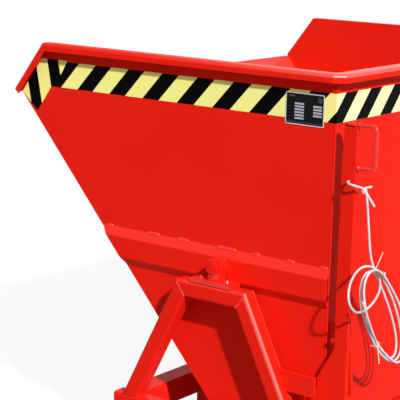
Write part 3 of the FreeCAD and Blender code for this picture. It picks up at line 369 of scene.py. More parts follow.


# grids of points become quads row by row; a ring joins each row's last column to its first, a wrap the last
# row to the first, and otherwise end rows are capped; uvs hold each point's measures, and marks its gloss and
# painted highlight
def skin(name, grids, finish, ring=True, caps=True, wrap=False, uvs=None, smooth=None, marks=None):
    faces, first = [], 0
    for grid in grids:
        rows, cols = grid.shape[:2]
        row = np.arange(rows if wrap else rows - 1)[:, None]
        here, there = row * cols + first, (row + 1) % rows * cols + first
        col = np.arange(cols if ring else cols - 1)[None, :]
        after = (col + 1) % cols
        quads = np.stack([here + col, here + after, there + after, there + col], axis=-1)
        faces += quads.reshape(-1, 4).tolist()
        if caps and not wrap:
            faces += [list(range(first, first + cols))[::-1],
                      list(range(first + (rows - 1) * cols, first + rows * cols))]
        first += rows * cols
    mesh = bpy.data.meshes.new(name)
    mesh.from_pydata(np.concatenate([grid.reshape(-1, 3) for grid in grids]).tolist(), [], faces)
    if uvs is not None:
        layer = mesh.uv_layers.new(name="along")
        corners = np.empty(len(mesh.loops), dtype=np.int32)
        mesh.loops.foreach_get("vertex_index", corners)
        spread = np.concatenate([uv.reshape(-1, 2) for uv in uvs])
        layer.data.foreach_set("uv", spread[corners].astype(np.float32).ravel())
    if marks is not None:
        edge = mesh.attributes.new("edge", "FLOAT", "POINT")
        edge.data.foreach_set("value", np.concatenate([mark.ravel() for mark in marks]).astype(np.float32))
    return finishMesh(name, mesh, finish, smooth)


# outward faces, the smooth shading's sharpest angle, and the object at the origin
def finishMesh(name, mesh, finish, smooth):
    shell = bmesh.new()
    shell.from_mesh(mesh)
    bmesh.ops.recalc_face_normals(shell, faces=shell.faces)
    shell.to_mesh(mesh)
    shell.free()
    if smooth is not None:
        mesh.polygons.foreach_set("use_smooth", np.ones(len(mesh.polygons), dtype=bool))
        mesh.set_sharp_from_angle(angle=math.radians(smooth))
    mesh.materials.append(finish)
    piece = bpy.data.objects.new(name, mesh)
    scene.collection.objects.link(piece)
    return piece


# a profile of (inward, down) carried along straight runs: at a corner each point keeps its distance from both
# runs, which meet in an arc, or in a mitre where the point lies further in than its radius; support rows
# stand close to each corner, and spans are rows at even shares of a run
def carryProfile(corners, inward, down, profiles, radius, steps=7, support=0.003, least=0.0002, spans=0):
    rows = []
    last = len(corners) - 1
    for index, corner in enumerate(corners):
        before, after = max(index - 1, 0), min(index, last - 1)
        bent = 0 < index < last
        share = np.linspace(0.0, 1.0, steps)[:, None] if bent else np.zeros((1, 1))
        arc = np.maximum(radius - profiles[index], least)
        shift = 0.0
        for way, out, bend in zip((inward, down), (profiles[index] + arc).T, arc.T):
            meet = (way[before] + way[after]) / (1.0 + way[before] @ way[after])
            turned = unit(way[before] * (1.0 - share) + way[after] * share)
            shift = shift + (out[:, None] * meet - bend[:, None] * turned[:, None, :])
        points = corner + shift
        near = points[:1] - support * unit(corner - corners[index - 1])
        if spans and index:
            share = np.linspace(0.0, 1.0, spans + 2)[1:-1, None, None]
            rows.append(rows[-1][-1:] * (1.0 - share) + near * share)
        if bent:
            far = points[-1:] + support * unit(corners[index + 1] - corner)
            points = np.concatenate([near, points, far])
        rows.append(points)
    return np.concatenate(rows)


# part of a circle round a centre, from one angle to another, as (inward, down) points
def quarter(centre, radius, first, last, steps=7):
    angle = np.radians(np.linspace(first, last, steps))
    return np.stack([centre[0] + radius * np.cos(angle), centre[1] + radius * np.sin(angle)], axis=1)


# a folded strip's section: top, outer arc, skirt, skirt edge, inner arc, underside, between given end points
def foldedSection(first, last, skirt, look):
    fold, sheet, edge = (look[key] for key in ("fold", "sheet", "edge"))
    return np.concatenate([
        first, [(fold + edge, 0.0)], quarter((fold, fold), fold, 270, 180),
        [(0.0, fold + edge), (0.0, skirt - edge), (edge, skirt), (sheet - edge, skirt),
         (sheet, skirt - edge)], quarter((fold, fold), fold - sheet, 180, 270), last])


# rim: one folded strip round three sides, its flange level and its skirt down, clipped at the rear corners
# and bent down along the mouth; sizes as in the source
rimLook = {
    "reach": 0.025, "sideFlange": 0.028, "rearFlange": 0.030, "skirt": 0.020, "sheet": 0.003, "fold": 0.008,
    "clip": 0.023, "length": 0.830, "run": 0.092, "drop": 0.119, "corner": 0.006, "edge": 0.0005, "spans": 6,
    "arcCols": (3, 10), "flangeGlossAndHighlight": 0.8, "farGlossAndHighlight": 0.08, "glossAndHighlightRun": 0.75}


# the flange's inner edge is a little round
def rimProfile(flange):
    sheet, edge = rimLook["sheet"], rimLook["edge"]
    first, last = [(flange, edge), (flange - edge, 0.0)], [(flange - edge, sheet), (flange, sheet - edge)]
    return foldedSection(first, last, rimLook["skirt"], rimLook)


# the left half's corners and their mirror images; the gloss and a painted highlight, a paler pink, fade with
# the square of the way from the rear
def makeRim():
    look = rimLook
    clip, rear, bendX = look["clip"], rearX - look["reach"], rearX + look["length"]
    half = [(bendX + look["run"], rimY, rimZ - look["drop"]), (bendX, rimY, rimZ), (rear + clip, rimY, rimZ),
            (rear, rimY - clip, rimZ)]
    corners = np.array(half + [(x, -y, z) for x, y, z in reversed(half)])
    slope = -unit(look["drop"] * xWay + look["run"] * zWay)
    inward = [-yWay, -yWay, unit(xWay - yWay), xWay, unit(xWay + yWay), yWay, yWay]
    down = [slope, -zWay, -zWay, -zWay, -zWay, -zWay, slope]
    flanges = ["sideFlange"] * 3 + ["rearFlange"] * 2 + ["sideFlange"] * 3
    grid = carryProfile(corners, inward, down, [rimProfile(look[key]) for key in flanges], look["corner"],
                        spans=look["spans"])
    cols = np.arange(grid.shape[1])
    arc = (cols >= look["arcCols"][0]) & (cols < look["arcCols"][1])
    flange = cols < look["arcCols"][0]
    # painted highlight with the gloss: the round edge and the flange are marked most near the rear
    nearRear = np.clip(1.0 - (grid[..., 0] - rear) / look["glossAndHighlightRun"], 0.0, 1.0) ** 2
    marks = arc * (look["farGlossAndHighlight"] + (1.0 - look["farGlossAndHighlight"]) * nearRear)
    marks += flange * look["flangeGlossAndHighlight"] * nearRear
    rim = skin("rimBand", [grid], rimRed, smooth=foldAngle, marks=[marks])
    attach(rim, "skip")
    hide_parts("left_rim", "rear_rim", "right_rim")


makeRim()

# pour lip: the front wall's top edge folded forward and turned down, section as in the source
lipLook = {"sheet": 0.003, "fold": 0.0045, "edge": 0.0005, "glossAndHighlight": 0.5}


# the fold's section as (back from the lip's front, down from its top)
def makeLip():
    low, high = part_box("pour_lip")
    length = high.x - low.x
    profile = foldedSection([(length, 0.0)], [(length, lipLook["sheet"])], high.z - low.z, lipLook)
    corners = np.array([(high.x, y, high.z) for y in (high.y, low.y)])
    grid = carryProfile(corners, [-xWay], [-zWay], [profile] * 2, 0.0)
    # painted highlight with the gloss: the whole fold is marked halfway, a paler pink
    marks = np.full(grid.shape[:2], lipLook["glossAndHighlight"])
    lip = skin("pourLipFold", [grid], rimRed, smooth=foldAngle, marks=[marks])
    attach(lip, "skip")
    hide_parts("pour_lip")


makeLip()
print("rim and pour lip")

# side stiffeners: a folded hat section along each wall, its bends round, cut off along the front wall's slope
hatLook = {"sheet": 0.003, "bevel": 0.020, "bend": 0.007, "run": 1.0, "slope": 0.9035,
           "lip": (0.9192, -0.126), "margin": 0.003, "bevelGlossAndHighlight": 0.22, "bevelSlack": 0.001}


# the sheet is carried over the hat's path, its length along the wall; the front end follows the slope's line
def makeStiffeners():
    look = hatLook
    low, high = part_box("left_stiffener")
    bevel = look["bevel"]
    tilt = unit([high.y - wallY, bevel])
    path = [(wallY, high.z), (high.y, high.z - bevel), (high.y, low.z + bevel), (wallY, low.z)]
    profile = np.array([(0.0, 0.0), (0.0, look["run"]), (look["sheet"], look["run"]), (look["sheet"], 0.0)])
    grids = []
    for side in (1.0, -1.0):
        corners = np.array([(rearX, side * y, z) for y, z in path])
        inward = [np.array([0.0, -side * tilt[1], -tilt[0]]), -side * yWay,
                  np.array([0.0, -side * tilt[1], tilt[0]])]
        grid = carryProfile(corners, inward, [xWay] * 3, [profile] * 4, look["bend"])
        front = (rearX + look["lip"][0] + look["slope"] * (grid[..., 2] - rimZ - look["lip"][1])
                 - look["margin"] * math.hypot(1.0, look["slope"]))
        grid[..., 0] = np.where(grid[..., 0] > rearX + look["run"] / 2, front, rearX)
        grids.append(grid)
    # painted highlight with the gloss: the upper bevel is marked, a paler pink
    upper = high.z - bevel - look["bevelSlack"]
    marks = [np.where(grid[..., 2] > upper, look["bevelGlossAndHighlight"], 0.0) for grid in grids]
    hats = skin("sideStiffeners", grids, rimRed, smooth=foldAngle, marks=marks)
    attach(hats, "skip")
    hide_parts("left_stiffener", "right_stiffener")


makeStiffeners()
print("stiffeners")

# trestles: on each side one square tube, up one leg, along the bar and down the other, mitred at both corners
tubeLook = {"side": 0.040, "corner": 0.007, "arcSteps": 6, "edge": 0.0006, "lean": 0.5, "mitreSteps": 2,
            "least": 0.0001, "runRows": (3, 4, 3), "runGlossAndHighlight": (0.03, 0.30, 1.0), "lowGlossAndHighlight": 0.03}


# the tube's section: a square of four corner arcs, marked where it is round, less on the lower arcs, for
# gloss and a painted highlight
def tubeSection():
    side, radius, steps, edge = (tubeLook[key] for key in ("side", "corner", "arcSteps", "edge"))
    section, marks = [], []
    for across, down, first in ((0, 0, 180), (1, 0, 270), (1, 1, 0), (0, 1, 90)):
        centre = (radius + across * (side - 2 * radius), radius + down * (side - 2 * radius))
        before, after = (edge * np.array([-math.sin(math.radians(turn)), math.cos(math.radians(turn))])
                         for turn in (first, first + 90))
        arc = quarter(centre, radius, first, first + 90, steps)
        section += [arc[:1] - before, arc, arc[-1:] + after]
        marks += [0.0] + [1.0 - down * (1.0 - tubeLook["lowGlossAndHighlight"])] * steps + [0.0]
    return np.concatenate(section), np.array(marks)


# a leg's width measured level: its square tube's side over the cosine of its lean
def legWide():
    return tubeLook["side"] * math.sqrt(1.0 + tubeLook["lean"] ** 2)


# a leg's lean, level over height: its box less the tube's level width, over the height below the mitre
def legLean(side):
    low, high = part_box(side + "_front_leg")
    barLow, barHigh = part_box(side + "_trestle_bar")
    return (high.x - low.x - legWide()) / (high.z - low.z - barHigh.z + barLow.z)


# the section is carried over foot, shoulder, shoulder and foot, and its end rows are cut level with the floor
def makeTrestles():
    look = tubeLook
    section, roundness = tubeSection()
    # painted highlight with the gloss: the marks grow from the front leg to the rear leg
    glossAndHighlight = np.repeat(look["runGlossAndHighlight"], look["runRows"])[:, None] * roundness[None, :]
    grids = []
    for side in ("left", "right"):
        barLow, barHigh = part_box(side + "_trestle_bar")
        frontLow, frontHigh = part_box(side + "_front_leg")
        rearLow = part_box(side + "_rear_leg")[0]
        foot, top, middle = frontLow.z, barHigh.z, (frontHigh.x + rearLow.x) / 2
        reach = frontHigh.x - middle
        shoulder = reach - (top - foot) * legLean(side)
        outer = barHigh.y if side == "left" else barLow.y
        path = ((reach, foot), (shoulder, top), (-shoulder, top), (-reach, foot))
        corners = np.array([(middle + x, outer, z) for x, z in path])
        runs = [unit(after - before) for before, after in zip(corners[:-1], corners[1:])]
        down = [np.array([-run[2], 0.0, run[0]]) for run in runs]
        inward = [-math.copysign(1.0, outer) * yWay] * 3
        grid = carryProfile(corners, inward, down, [section] * 4, 0.0, look["mitreSteps"], look["edge"],
                            look["least"])
        for row, run in ((0, runs[0]), (-1, runs[-1])):
            grid[row] += run * ((foot - grid[row][:, 2:]) / run[2])
        grids.append(grid)
    tubes = skin("trestleTubes", grids, tubeRed, smooth=foldAngle, marks=[glossAndHighlight, glossAndHighlight])
    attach(tubes, "chassis")
    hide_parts(*[f"{side}_{part}" for side in ("left", "right")
                         for part in ("trestle_bar", "front_leg", "rear_leg")])


makeTrestles()
print("trestles")

# tyres: a profile with round shoulders and two grooves turned about each wheel's axle
tyreLook = {"wall": 0.020, "shoulder": 0.008, "groove": 0.0065, "grooveWide": 0.0030, "grooveDeep": 0.0018,
            "edge": 0.0006, "around": 72, "smooth": 40}


# half the profile as (across, out from the axle), then its mirror image: the bore's end, the side, the
# shoulder's arc and a groove's two sides
def tyreProfile(half, radius):
    shoulder, edge, deep = tyreLook["shoulder"], tyreLook["edge"], tyreLook["grooveDeep"]
    near, far = (tyreLook["groove"] + way * tyreLook["grooveWide"] / 2 for way in (-1, 1))
    bore = radius - tyreLook["wall"]
    side = np.concatenate([
        [(half - edge, bore), (half, bore + edge), (half, radius - shoulder - edge)],
        quarter((half - shoulder, radius - shoulder), shoulder, 0, 90),
        [(far + edge, radius), (far, radius - edge), (far - edge, radius - deep),
         (near + edge, radius - deep), (near, radius - edge), (near - edge, radius)]])
    return np.concatenate([side, side[::-1] * np.array([-1.0, 1.0])])


# each point of the profile goes round the axle in a circle of its own radius
def makeTyres():
    turn = fullTurn(tyreLook["around"])[:, None]
    for end in ("front", "rear"):
        for side in ("left", "right"):
            name = f"{end}_{side}_tyre"
            low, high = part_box(name)
            across, out = tyreProfile((high.y - low.y) / 2, (high.z - low.z) / 2).T
            x, y, z = ((first + last) / 2 for first, last in zip(low, high))
            y = y + across + 0.0 * turn
            grid = np.stack([x + out * np.cos(turn), y, z + out * np.sin(turn)], axis=-1)
            tyre = skin(f"{end}{side.title()}Tyre", [grid], tyreRubber, wrap=True, smooth=tyreLook["smooth"])
            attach(tyre, nodes[name]["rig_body"])
            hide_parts(name)


makeTyres()
print("tyres")

# hazard tape: a strip round three walls and a short strip over each front end, along the sloped rim; x from
# the rear wall and z from the rim
tapeLook = {
    "top": -0.044, "low": -0.107, "sheet": 0.00035, "frontLow": 0.819, "frontTop": 0.850, "start": 0.7870,
    "period": 0.1016, "lean": 0.058, "share": 0.52, "corner": 0.0012, "least": 0.00005, "blur": 0.010,
    "ends": [[(0.785, -0.072), (0.767, -0.041)], [(0.819, -0.108), (0.854, -0.041)],
             [(0.864, -0.171), (0.9155, -0.1285)]],
    "yellow": (0.96, 0.91, 0.25), "pale": (0.94, 0.88, 0.33), "paintedSunlitYellow": (0.90, 0.88, 0.44),
    "behind": 0.002, "black": (0.0012, 0.0012, 0.0012), "scuff": (0.006, 0.006, 0.0055),
    "mottle": (26.0, 4.0), "mottleEdges": (0.35, 0.75), "scuffs": (190.0, 5.0, 0.7),
    "scuffEdges": (0.64, 0.86), "scuffRough": 0.15, "rough": 0.36, "grain": (900.0, 2.0), "grainShare": 0.2,
    "bump": (0.0003, 0.35), "shine": 0.02}


# the tape's print: slanted bands by the fraction of the distance along, less the lean times the height, over
# the period; behind the skip the yellow is painted paler, a painted light for the sunlit rear face
def tapePrint():
    look = tapeLook
    finish = Finish("hazardTape")
    along, height = finish.measures()
    place = finish.place()
    phase = ((along - height * look["lean"]) / look["period"]).part()
    band = phase.ramp(0.0, look["blur"]) * (1.0 - phase.ramp(look["share"], look["share"] + look["blur"]))
    mottle, scuffs, grain = (finish.noise(place, *look[key]) for key in ("mottle", "scuffs", "grain"))
    scuffs = scuffs.ramp(*look["scuffEdges"])
    behind = 1.0 - finish.split(place)[0].ramp(rearX, rearX + look["behind"])
    yellow = finish.blend(mottle.ramp(*look["mottleEdges"]), look["yellow"], look["pale"])
    # painted light: the yellow behind the skip is paler
    yellow = finish.blend(behind, yellow, look["paintedSunlitYellow"])
    black = finish.blend(scuffs, look["black"], look["scuff"])
    relief = finish.bump(mottle + grain * look["grainShare"], *look["bump"])
    return finish.close({
        "Base Color": finish.blend(band, black, yellow), "Normal": relief,
        "Roughness": scuffs * look["scuffRough"] + look["rough"], "Specular IOR Level": look["shine"]})


# the strip: its sheet carried round three walls, its front ends slanted; the print runs along its top
def makeStrip(finish):
    look = tapeLook
    sheet, low, top = look["sheet"], rimZ + look["low"], rimZ + look["top"]
    outY, outX, front = wallY + sheet, rearX - sheet, rearX + look["frontLow"]
    corners = np.array([(front, outY, top), (outX, outY, top), (outX, -outY, top), (front, -outY, top)])
    profile = np.array([(0.0, 0.0), (0.0, top - low), (sheet, top - low), (sheet, 0.0)])
    grid = carryProfile(corners, [-yWay, xWay, yWay], [-zWay] * 3, [profile] * 4, look["corner"],
                        least=look["least"])
    height = (grid[..., 2] - low) / (top - low)
    grid[[0, -1], :, 0] += height[[0, -1]] * (look["frontTop"] - look["frontLow"])
    start = rearX + look["start"]
    reach = reachAlong(grid[1:, 0]) + start - grid[1, 0, 0]
    along = np.concatenate([[0.0], reach])[:, None] * np.ones((1, len(profile)))
    along[0] = start - grid[0, :, 0]
    along[-1] = along[-2] + grid[-1, :, 0] - grid[-2, :, 0]
    strip = skin("hazardTape", [grid], finish, uvs=[np.stack([along, height], axis=-1)])
    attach(strip, "skip")


# the ends: flat pieces laid over the strip, folded once; their print runs along the sloped rim and leans the
# other way, by twice the lean
def makeStripEnds(finish):
    look = tapeLook
    edges = np.array(look["ends"])
    fold = edges[1, 0]
    way = unit(edges[2, 0] - fold)
    across = np.array([-way[1], way[0]])
    flat = np.concatenate([edges, edges[:, ::-1]], axis=1)
    level = wallY + np.array([2.0, 2.0, 1.0, 1.0]) * look["sheet"] + 0.0 * flat[..., 0]
    lift = (flat - fold) @ across / (look["top"] - look["low"])
    measures = np.stack([(flat - fold) @ way + 2 * look["lean"] * lift, lift], axis=-1)
    grids = [np.stack([rearX + flat[..., 0], side * level, rimZ + flat[..., 1]], axis=-1)
             for side in (1.0, -1.0)]
    ends = skin("hazardTapeEnds", grids, finish, uvs=[measures, measures])
    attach(ends, "skip")


tapeFinish = tapePrint()
makeStrip(tapeFinish)
makeStripEnds(tapeFinish)
print("hazard tape")

# type plate: a thin rounded sheet over the tape, black with a bare metal border and blank pale fields, no
# lettering; in shares of the plate, fields are (left, right, low, high, rows) and rules the same without rows
plateLook = {
    "front": 0.129, "rear": 0.030, "top": -0.050, "low": -0.120, "sheet": 0.0009, "corner": 0.004,
    "edge": 0.0003, "border": 0.022, "black": (0.0100, 0.0080, 0.0100), "metal": (0.62, 0.62, 0.63),
    "field": (0.47, 0.50, 0.57), "fields": [(0.24, 0.48, 0.16, 0.70, 6), (0.72, 0.94, 0.28, 0.66, 4)],
    "rules": [(0.08, 0.24, 0.86, 0.92), (0.84, 0.94, 0.74, 0.90), (0.06, 0.94, 0.07, 0.10)],
    "fieldRow": (0.22, 0.86), "ruleShade": 0.12, "smear": (120.0, 4.0), "smearFade": 0.3, "fade": 0.7,
    "metallic": 0.9, "smearRough": 0.2, "rough": 0.28, "shine": 0.03}


# a rectangle's mask between four limits of the plate's own place
def inside(across, up, left, right, low, high):
    return (across > left) * (across < right) * (up > low) * (up < high)


# the plate's print: the greatest of the fields' rows and of the faint rules, inside the border
def platePrint():
    look = plateLook
    finish = Finish("typePlate")
    across, up = finish.measures()
    wide = look["border"]
    tall = wide * (look["front"] - look["rear"]) / (look["top"] - look["low"])
    panel = inside(across, up, wide, 1.0 - wide, tall, 1.0 - tall)
    masks = []
    for left, right, low, high, rows in look["fields"]:
        step = ((up - low) / ((high - low) / rows)).part()
        shown = (step > look["fieldRow"][0]) * (step < look["fieldRow"][1])
        masks.append(inside(across, up, left, right, low, high) * shown)
    masks += [inside(across, up, *limits) * look["ruleShade"] for limits in look["rules"]]
    blank = masks[0]
    for mask in masks[1:]:
        blank = blank.most(mask)
    smear = finish.noise(finish.place(), *look["smear"])
    colour = finish.blend(blank * (smear * look["smearFade"] + look["fade"]), look["black"], look["field"])
    colour = finish.blend(panel, look["metal"], colour)
    return finish.close({
        "Base Color": colour, "Metallic": (1.0 - panel) * look["metallic"],
        "Roughness": smear * look["smearRough"] + look["rough"], "Specular IOR Level": look["shine"]})


# a rounded rectangle: the four corner quarters joined, as points round the middle
def roundedOutline(wide, tall, radius, steps=6):
    arcs = [quarter((x * (wide - radius), y * (tall - radius)), radius, first, first + 90, steps)
            for x, y, first in ((1, 1, 0), (-1, 1, 90), (-1, -1, 180), (1, -1, 270))]
    return np.concatenate(arcs)


# three outlines: on the tape, below the bevelled edge, and shrunk by the bevel on top
def makePlate():
    look = plateLook
    wide, tall = (look["front"] - look["rear"]) / 2, (look["top"] - look["low"]) / 2
    middleX, middleZ = rearX + (look["front"] + look["rear"]) / 2, rimZ + (look["top"] + look["low"]) / 2
    base = wallY + tapeLook["sheet"]
    edge, sheet = look["edge"], look["sheet"]
    rows, uvs = [], []
    for shrink, lift in ((0.0, 0.0), (0.0, sheet - edge), (edge, sheet)):
        across, up = roundedOutline(wide - shrink, tall - shrink, look["corner"]).T
        rows.append(np.stack([middleX - across, base + lift + 0.0 * up, middleZ + up], axis=1))
        uvs.append(np.stack([(across + wide) / (2 * wide), (up + tall) / (2 * tall)], axis=1))
    plate = skin("typePlate", [np.array(rows)], platePrint(), uvs=[np.array(uvs)])
    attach(plate, "skip")


makePlate()
print("type plate")

# welds: stitches along the stiffeners as (middle, length), a short bead under the rim, a seam down each rear
# corner, thin beads on the trestles' mitres and feet, and three round the grip's ends
weldLook = {
    "pitch": 0.0080, "ripple": 0.24, "crescent": 0.3, "around": 12, "row": 0.0011, "fewest": 10, "tip": 0.02,
    "stitches": [(0.624, 0.022), (0.490, 0.040), (0.403, 0.036), (0.277, 0.058), (0.193, 0.022),
                 (0.102, 0.026), (0.016, 0.024)],
    "stitch": 0.0058, "sunk": 0.0022, "deep": 0.0015, "taper": 0.010, "margin": 0.002, "rimBead": 0.0030,
    "rimRun": (0.002, 0.018), "rimSunk": 0.0005, "rimDown": 0.0052, "seam": 0.0027, "seamSunk": 0.0019,
    "seamAround": 24, "thin": 0.0020, "thinSunk": 0.60, "mitreFlat": 0.35, "mitreTop": 0.006,
    "mitreLow": 0.001, "foot": 0.006, "gripStart": 0.001, "gripRun": 0.024, "gripRise": 0.001,
    "gripRings": (0.010, 0.007), "gripShares": (0.8, 1.35, 1.3)}


# a bead: a round ridge from start to end with round ends, its radius swelling once every pitch, each swell a
# crescent
def bead(start, end, radius, flat=1.0, upward=zWay, taper=None):
    look = weldLook
    start, end = np.array(start), np.array(end)
    length = np.linalg.norm(end - start)
    way = (end - start) / length
    side = unit(np.cross(way, upward))
    other = np.cross(side, way)
    along = np.linspace(0.0, length, max(int(length / look["row"]), look["fewest"]))[:, None]
    turn = fullTurn(look["around"])[None, :]
    near = np.clip(np.minimum(along, length - along) / (taper or radius), look["tip"], 1.0)
    swell = 1.0 + look["ripple"] * (np.abs(np.sin(np.pi * along / look["pitch"])) - 0.5)
    reach = radius * np.sqrt(1.0 - (1.0 - near) ** 2) * swell
    shift = along + look["crescent"] * radius * np.cos(turn) * near
    return (start + shift[..., None] * way + (reach * np.cos(turn))[..., None] * side
            + (flat * reach * np.sin(turn))[..., None] * other)


# grids of one kind of weld become a painted piece that rides on a body
def layWelds(name, grids, finish, body):
    welds = skin(name, grids, finish, smooth=beadAngle)
    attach(welds, body)


# stitches lie on the stiffener's upper edge, cut off inside the wall's sheet so that none shows in the skip
def skipWelds():
    look = weldLook
    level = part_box("left_stiffener")[1].z - look["sunk"] / 2
    beads = []
    for side in (1.0, -1.0):
        sunk = side * (wallY - look["sunk"])
        for middle, length in look["stitches"]:
            first, last = rearX + max(middle - length / 2, look["margin"]), rearX + middle + length / 2
            stitch = bead((first, sunk, level), (last, sunk, level), look["stitch"], taper=look["taper"])
            stitch[..., 1] = side * np.maximum(side * stitch[..., 1], wallY - look["deep"])
            beads.append(stitch)
        first, last = ((rearX + x, side * (wallY - look["rimSunk"]), rimZ - look["rimDown"])
                       for x in look["rimRun"])
        beads.append(bead(first, last, look["rimBead"]))
    layWelds("skipWelds", beads, glossRed, "skip")


# the rear corners: a round seam where side and rear walls meet, from the floor plate to the tape
def cornerSeams():
    turn = fullTurn(weldLook["seamAround"])
    radius, sunk = weldLook["seam"], weldLook["seamSunk"]
    x = rearX + sunk + radius * np.cos(turn)
    levels = (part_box("rear_wall")[0].z, rimZ + tapeLook["low"])
    grids = []
    for side in (1.0, -1.0):
        y = side * (wallY - sunk) + radius * np.sin(turn)
        grids.append(np.array([np.stack([x, y, level + 0.0 * x], axis=1) for level in levels]))
    layWelds("cornerSeams", grids, skipRed, "skip")


# the mitres run from the bar's top corner to the inside corner below it, sunk where they would leave the
# solids' box; feet are beaded on the tube's inner face and across its front and rear
def trestleWelds():
    look = weldLook
    radius, margin = look["thin"], look["foot"]
    beads = []
    for side in ("left", "right"):
        barLow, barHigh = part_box(side + "_trestle_bar")
        middle, spread, wide = (barLow.x + barHigh.x) / 2, legLean(side), legWide()
        inner = barLow.y if side == "left" else barHigh.y
        for end, way in (("front", 1.0), ("rear", -1.0)):
            low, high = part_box(f"{side}_{end}_leg")
            footX = high.x if end == "front" else low.x
            topX = middle + way * (abs(footX - middle) - spread * (high.z - low.z))
            innerX = topX + way * (spread * (barHigh.z - barLow.z) - wide)
            for y in (barLow.y, barHigh.y):
                sunk = y if y > cadBounds[0][1] + radius else y + look["thinSunk"] * radius
                top = (topX, sunk, barHigh.z - look["mitreTop"])
                beads.append(bead(top, (innerX, sunk, barLow.z + look["mitreLow"]), radius, look["mitreFlat"],
                                  yWay))
            first, last = ((footX - way * reach, inner, low.z) for reach in (margin, wide - margin))
            beads.append(bead(first, last, radius))
            for x in (footX, footX - way * wide):
                beads.append(bead((x, low.y + margin, low.z), (x, high.y - margin, low.z), radius))
    layWelds("trestleWelds", beads, glossRed, "chassis")


# the grip's upper end lies along the lever's outer face, and both ends are ringed behind it
def gripWelds():
    look = weldLook
    low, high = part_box("lever_grip")
    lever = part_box("release_lever")
    rod, middle, outer = (high.y - low.y) / 2, (high.y + low.y) / 2, lever[1].y
    edge, foot, top = lever[0].x, low.z + rod, high.z - rod
    start = edge + look["gripStart"]
    lowRing, topRing = (edge - length for length in look["gripRings"])
    runs = [((start, outer, top), (edge + look["gripRun"], outer, top + look["gripRise"])),
            ((start, middle, foot), (lowRing, middle, foot)), ((start, middle, top), (topRing, middle, top))]
    beads = [bead(first, last, rod * share) for (first, last), share in zip(runs, look["gripShares"])]
    layWelds("gripWelds", beads, glossRed, "release_lever")


skipWelds()
cornerSeams()
trestleWelds()
gripWelds()
print("welds")

# pull cord: the points of the source's route and of its coil, in metres from the lever's hole
cordLook = {
    "diameter": 0.005, "length": 2.27, "lean": 0.1, "layer": 0.0064, "station": 0.0012, "around": 16,
    "order": 3, "resolution": 16, "lay": 4.2, "waves": 2, "dip": 0.06, "white": (0.79, 0.78, 0.79),
    "shade": (0.46, 0.46, 0.50), "strand": 1.05, "strands": 8.0, "gapEdges": (0.0, 0.45),
    "gapShare": 0.5, "soil": (40.0, 4.0), "soilEdges": (0.3, 0.7), "soilShare": 0.5, "rough": 0.85,
    "bump": (0.0004, 0.7)}
cordHole = np.array([-0.45725, 0.6025, 0.848])
cordTie = np.array([-0.0455, -0.048, -0.200])
tieWay, tieRun = unit([-0.06, -0.5, -0.86]), 0.038
cordRoute = [(0.0, -0.008, 0.0), (-0.0005, 0.020, 0.001), (-0.025, 0.027, -0.003), (-0.040, -0.001, -0.011),
             (-0.0405, -0.009, -0.048), (-0.0412, -0.015, -0.084), (-0.0425, -0.0205, -0.126),
             tuple(cordTie - tieWay * tieRun), tuple(cordTie)]
# each turn as (sideways, up, layers back) from the tie, in millimetres of the coil's leaning plane
metre = 1000
coilTurns = [
    [(-26, -42, 0), (-50, -84, 0), (-68, -126, 0), (-78, -164, 0), (-73, -193, 0), (-48, -202, 0),
     (-16, -183, 0), (16, -150, 0), (43, -112, 0), (61, -72, 0), (67, -30, 0), (56, 2, 0.33),
     (28, 12, 0.67), (0, 0, 1)],
    [(-8, -22, 1), (-3, -40, 1), (14, -54, 1), (38, -64, 1), (66, -70, 1), (94, -67, 1), (117, -50, 1),
     (125, -24, 1), (113, 2, 1), (88, 20, 1), (60, 27, 1.33), (28, 20, 1.67), (0, 0, 2)],
    [(-30, -40, 2), (-58, -82, 1.8), (-78, -126, 1.5), (-88, -166, 1.2), (-80, -199, 0.9), (-50, -208, 0.7),
     (-13, -187, 0.55), (20, -153.3, 0.5), (47.5, -114, 1), (66, -66, 2), (74, -22, 2), (60, 10, 2.33),
     (28, 17, 2.67), (0, 0, 3)],
    [(-33, -37, 3), (-66, -78, 2.7), (-90, -122, 2.4), (-100, -164, 2.1), (-92, -200, 2), (-60, -213, 1.75),
     (-22, -187, 1.35), (16, -150, 1), (49, -112, 2.3), (72, -76, 3), (87, -42, 3)]]


# the whole cord's points: the hanging route, then each turn's points set back by the lean and by their layers
def cordPoints():
    sideways, up, layers = np.array([point for turn in coilTurns for point in turn]).T
    back = cordLook["lean"] * up / metre - cordLook["layer"] * layers
    coil = cordTie + np.stack([back, sideways / metre, up / metre], axis=1)
    return np.concatenate([np.array(cordRoute), coil]) + cordHole


# points read from the smooth spline that has these control points
def splinePoints(points):
    curve = bpy.data.curves.new("cordLine", "CURVE")
    curve.dimensions = "3D"
    curve.resolution_u = cordLook["resolution"]
    spline = curve.splines.new("NURBS")
    spline.points.add(len(points) - 1)
    spline.points.foreach_set("co", np.hstack([points, np.ones((len(points), 1))]).ravel())
    spline.order_u = cordLook["order"]
    spline.use_endpoint_u = True
    line = bpy.data.objects.new("cordLine", curve)
    scene.collection.objects.link(line)
    mesh = bpy.data.meshes.new_from_object(line)
    read = np.empty(len(mesh.vertices) * 3)
    mesh.vertices.foreach_get("co", read)
    bpy.data.objects.remove(line)
    bpy.data.curves.remove(curve)
    bpy.data.meshes.remove(mesh)
    return read.reshape(-1, 3)


# the line at even steps of its length
def evenSteps(line, step):
    reach = reachAlong(line)
    stations = np.linspace(0.0, reach[-1], int(reach[-1] / step) + 1)
    return np.stack([np.interp(stations, reach, axis) for axis in line.T], axis=1), stations


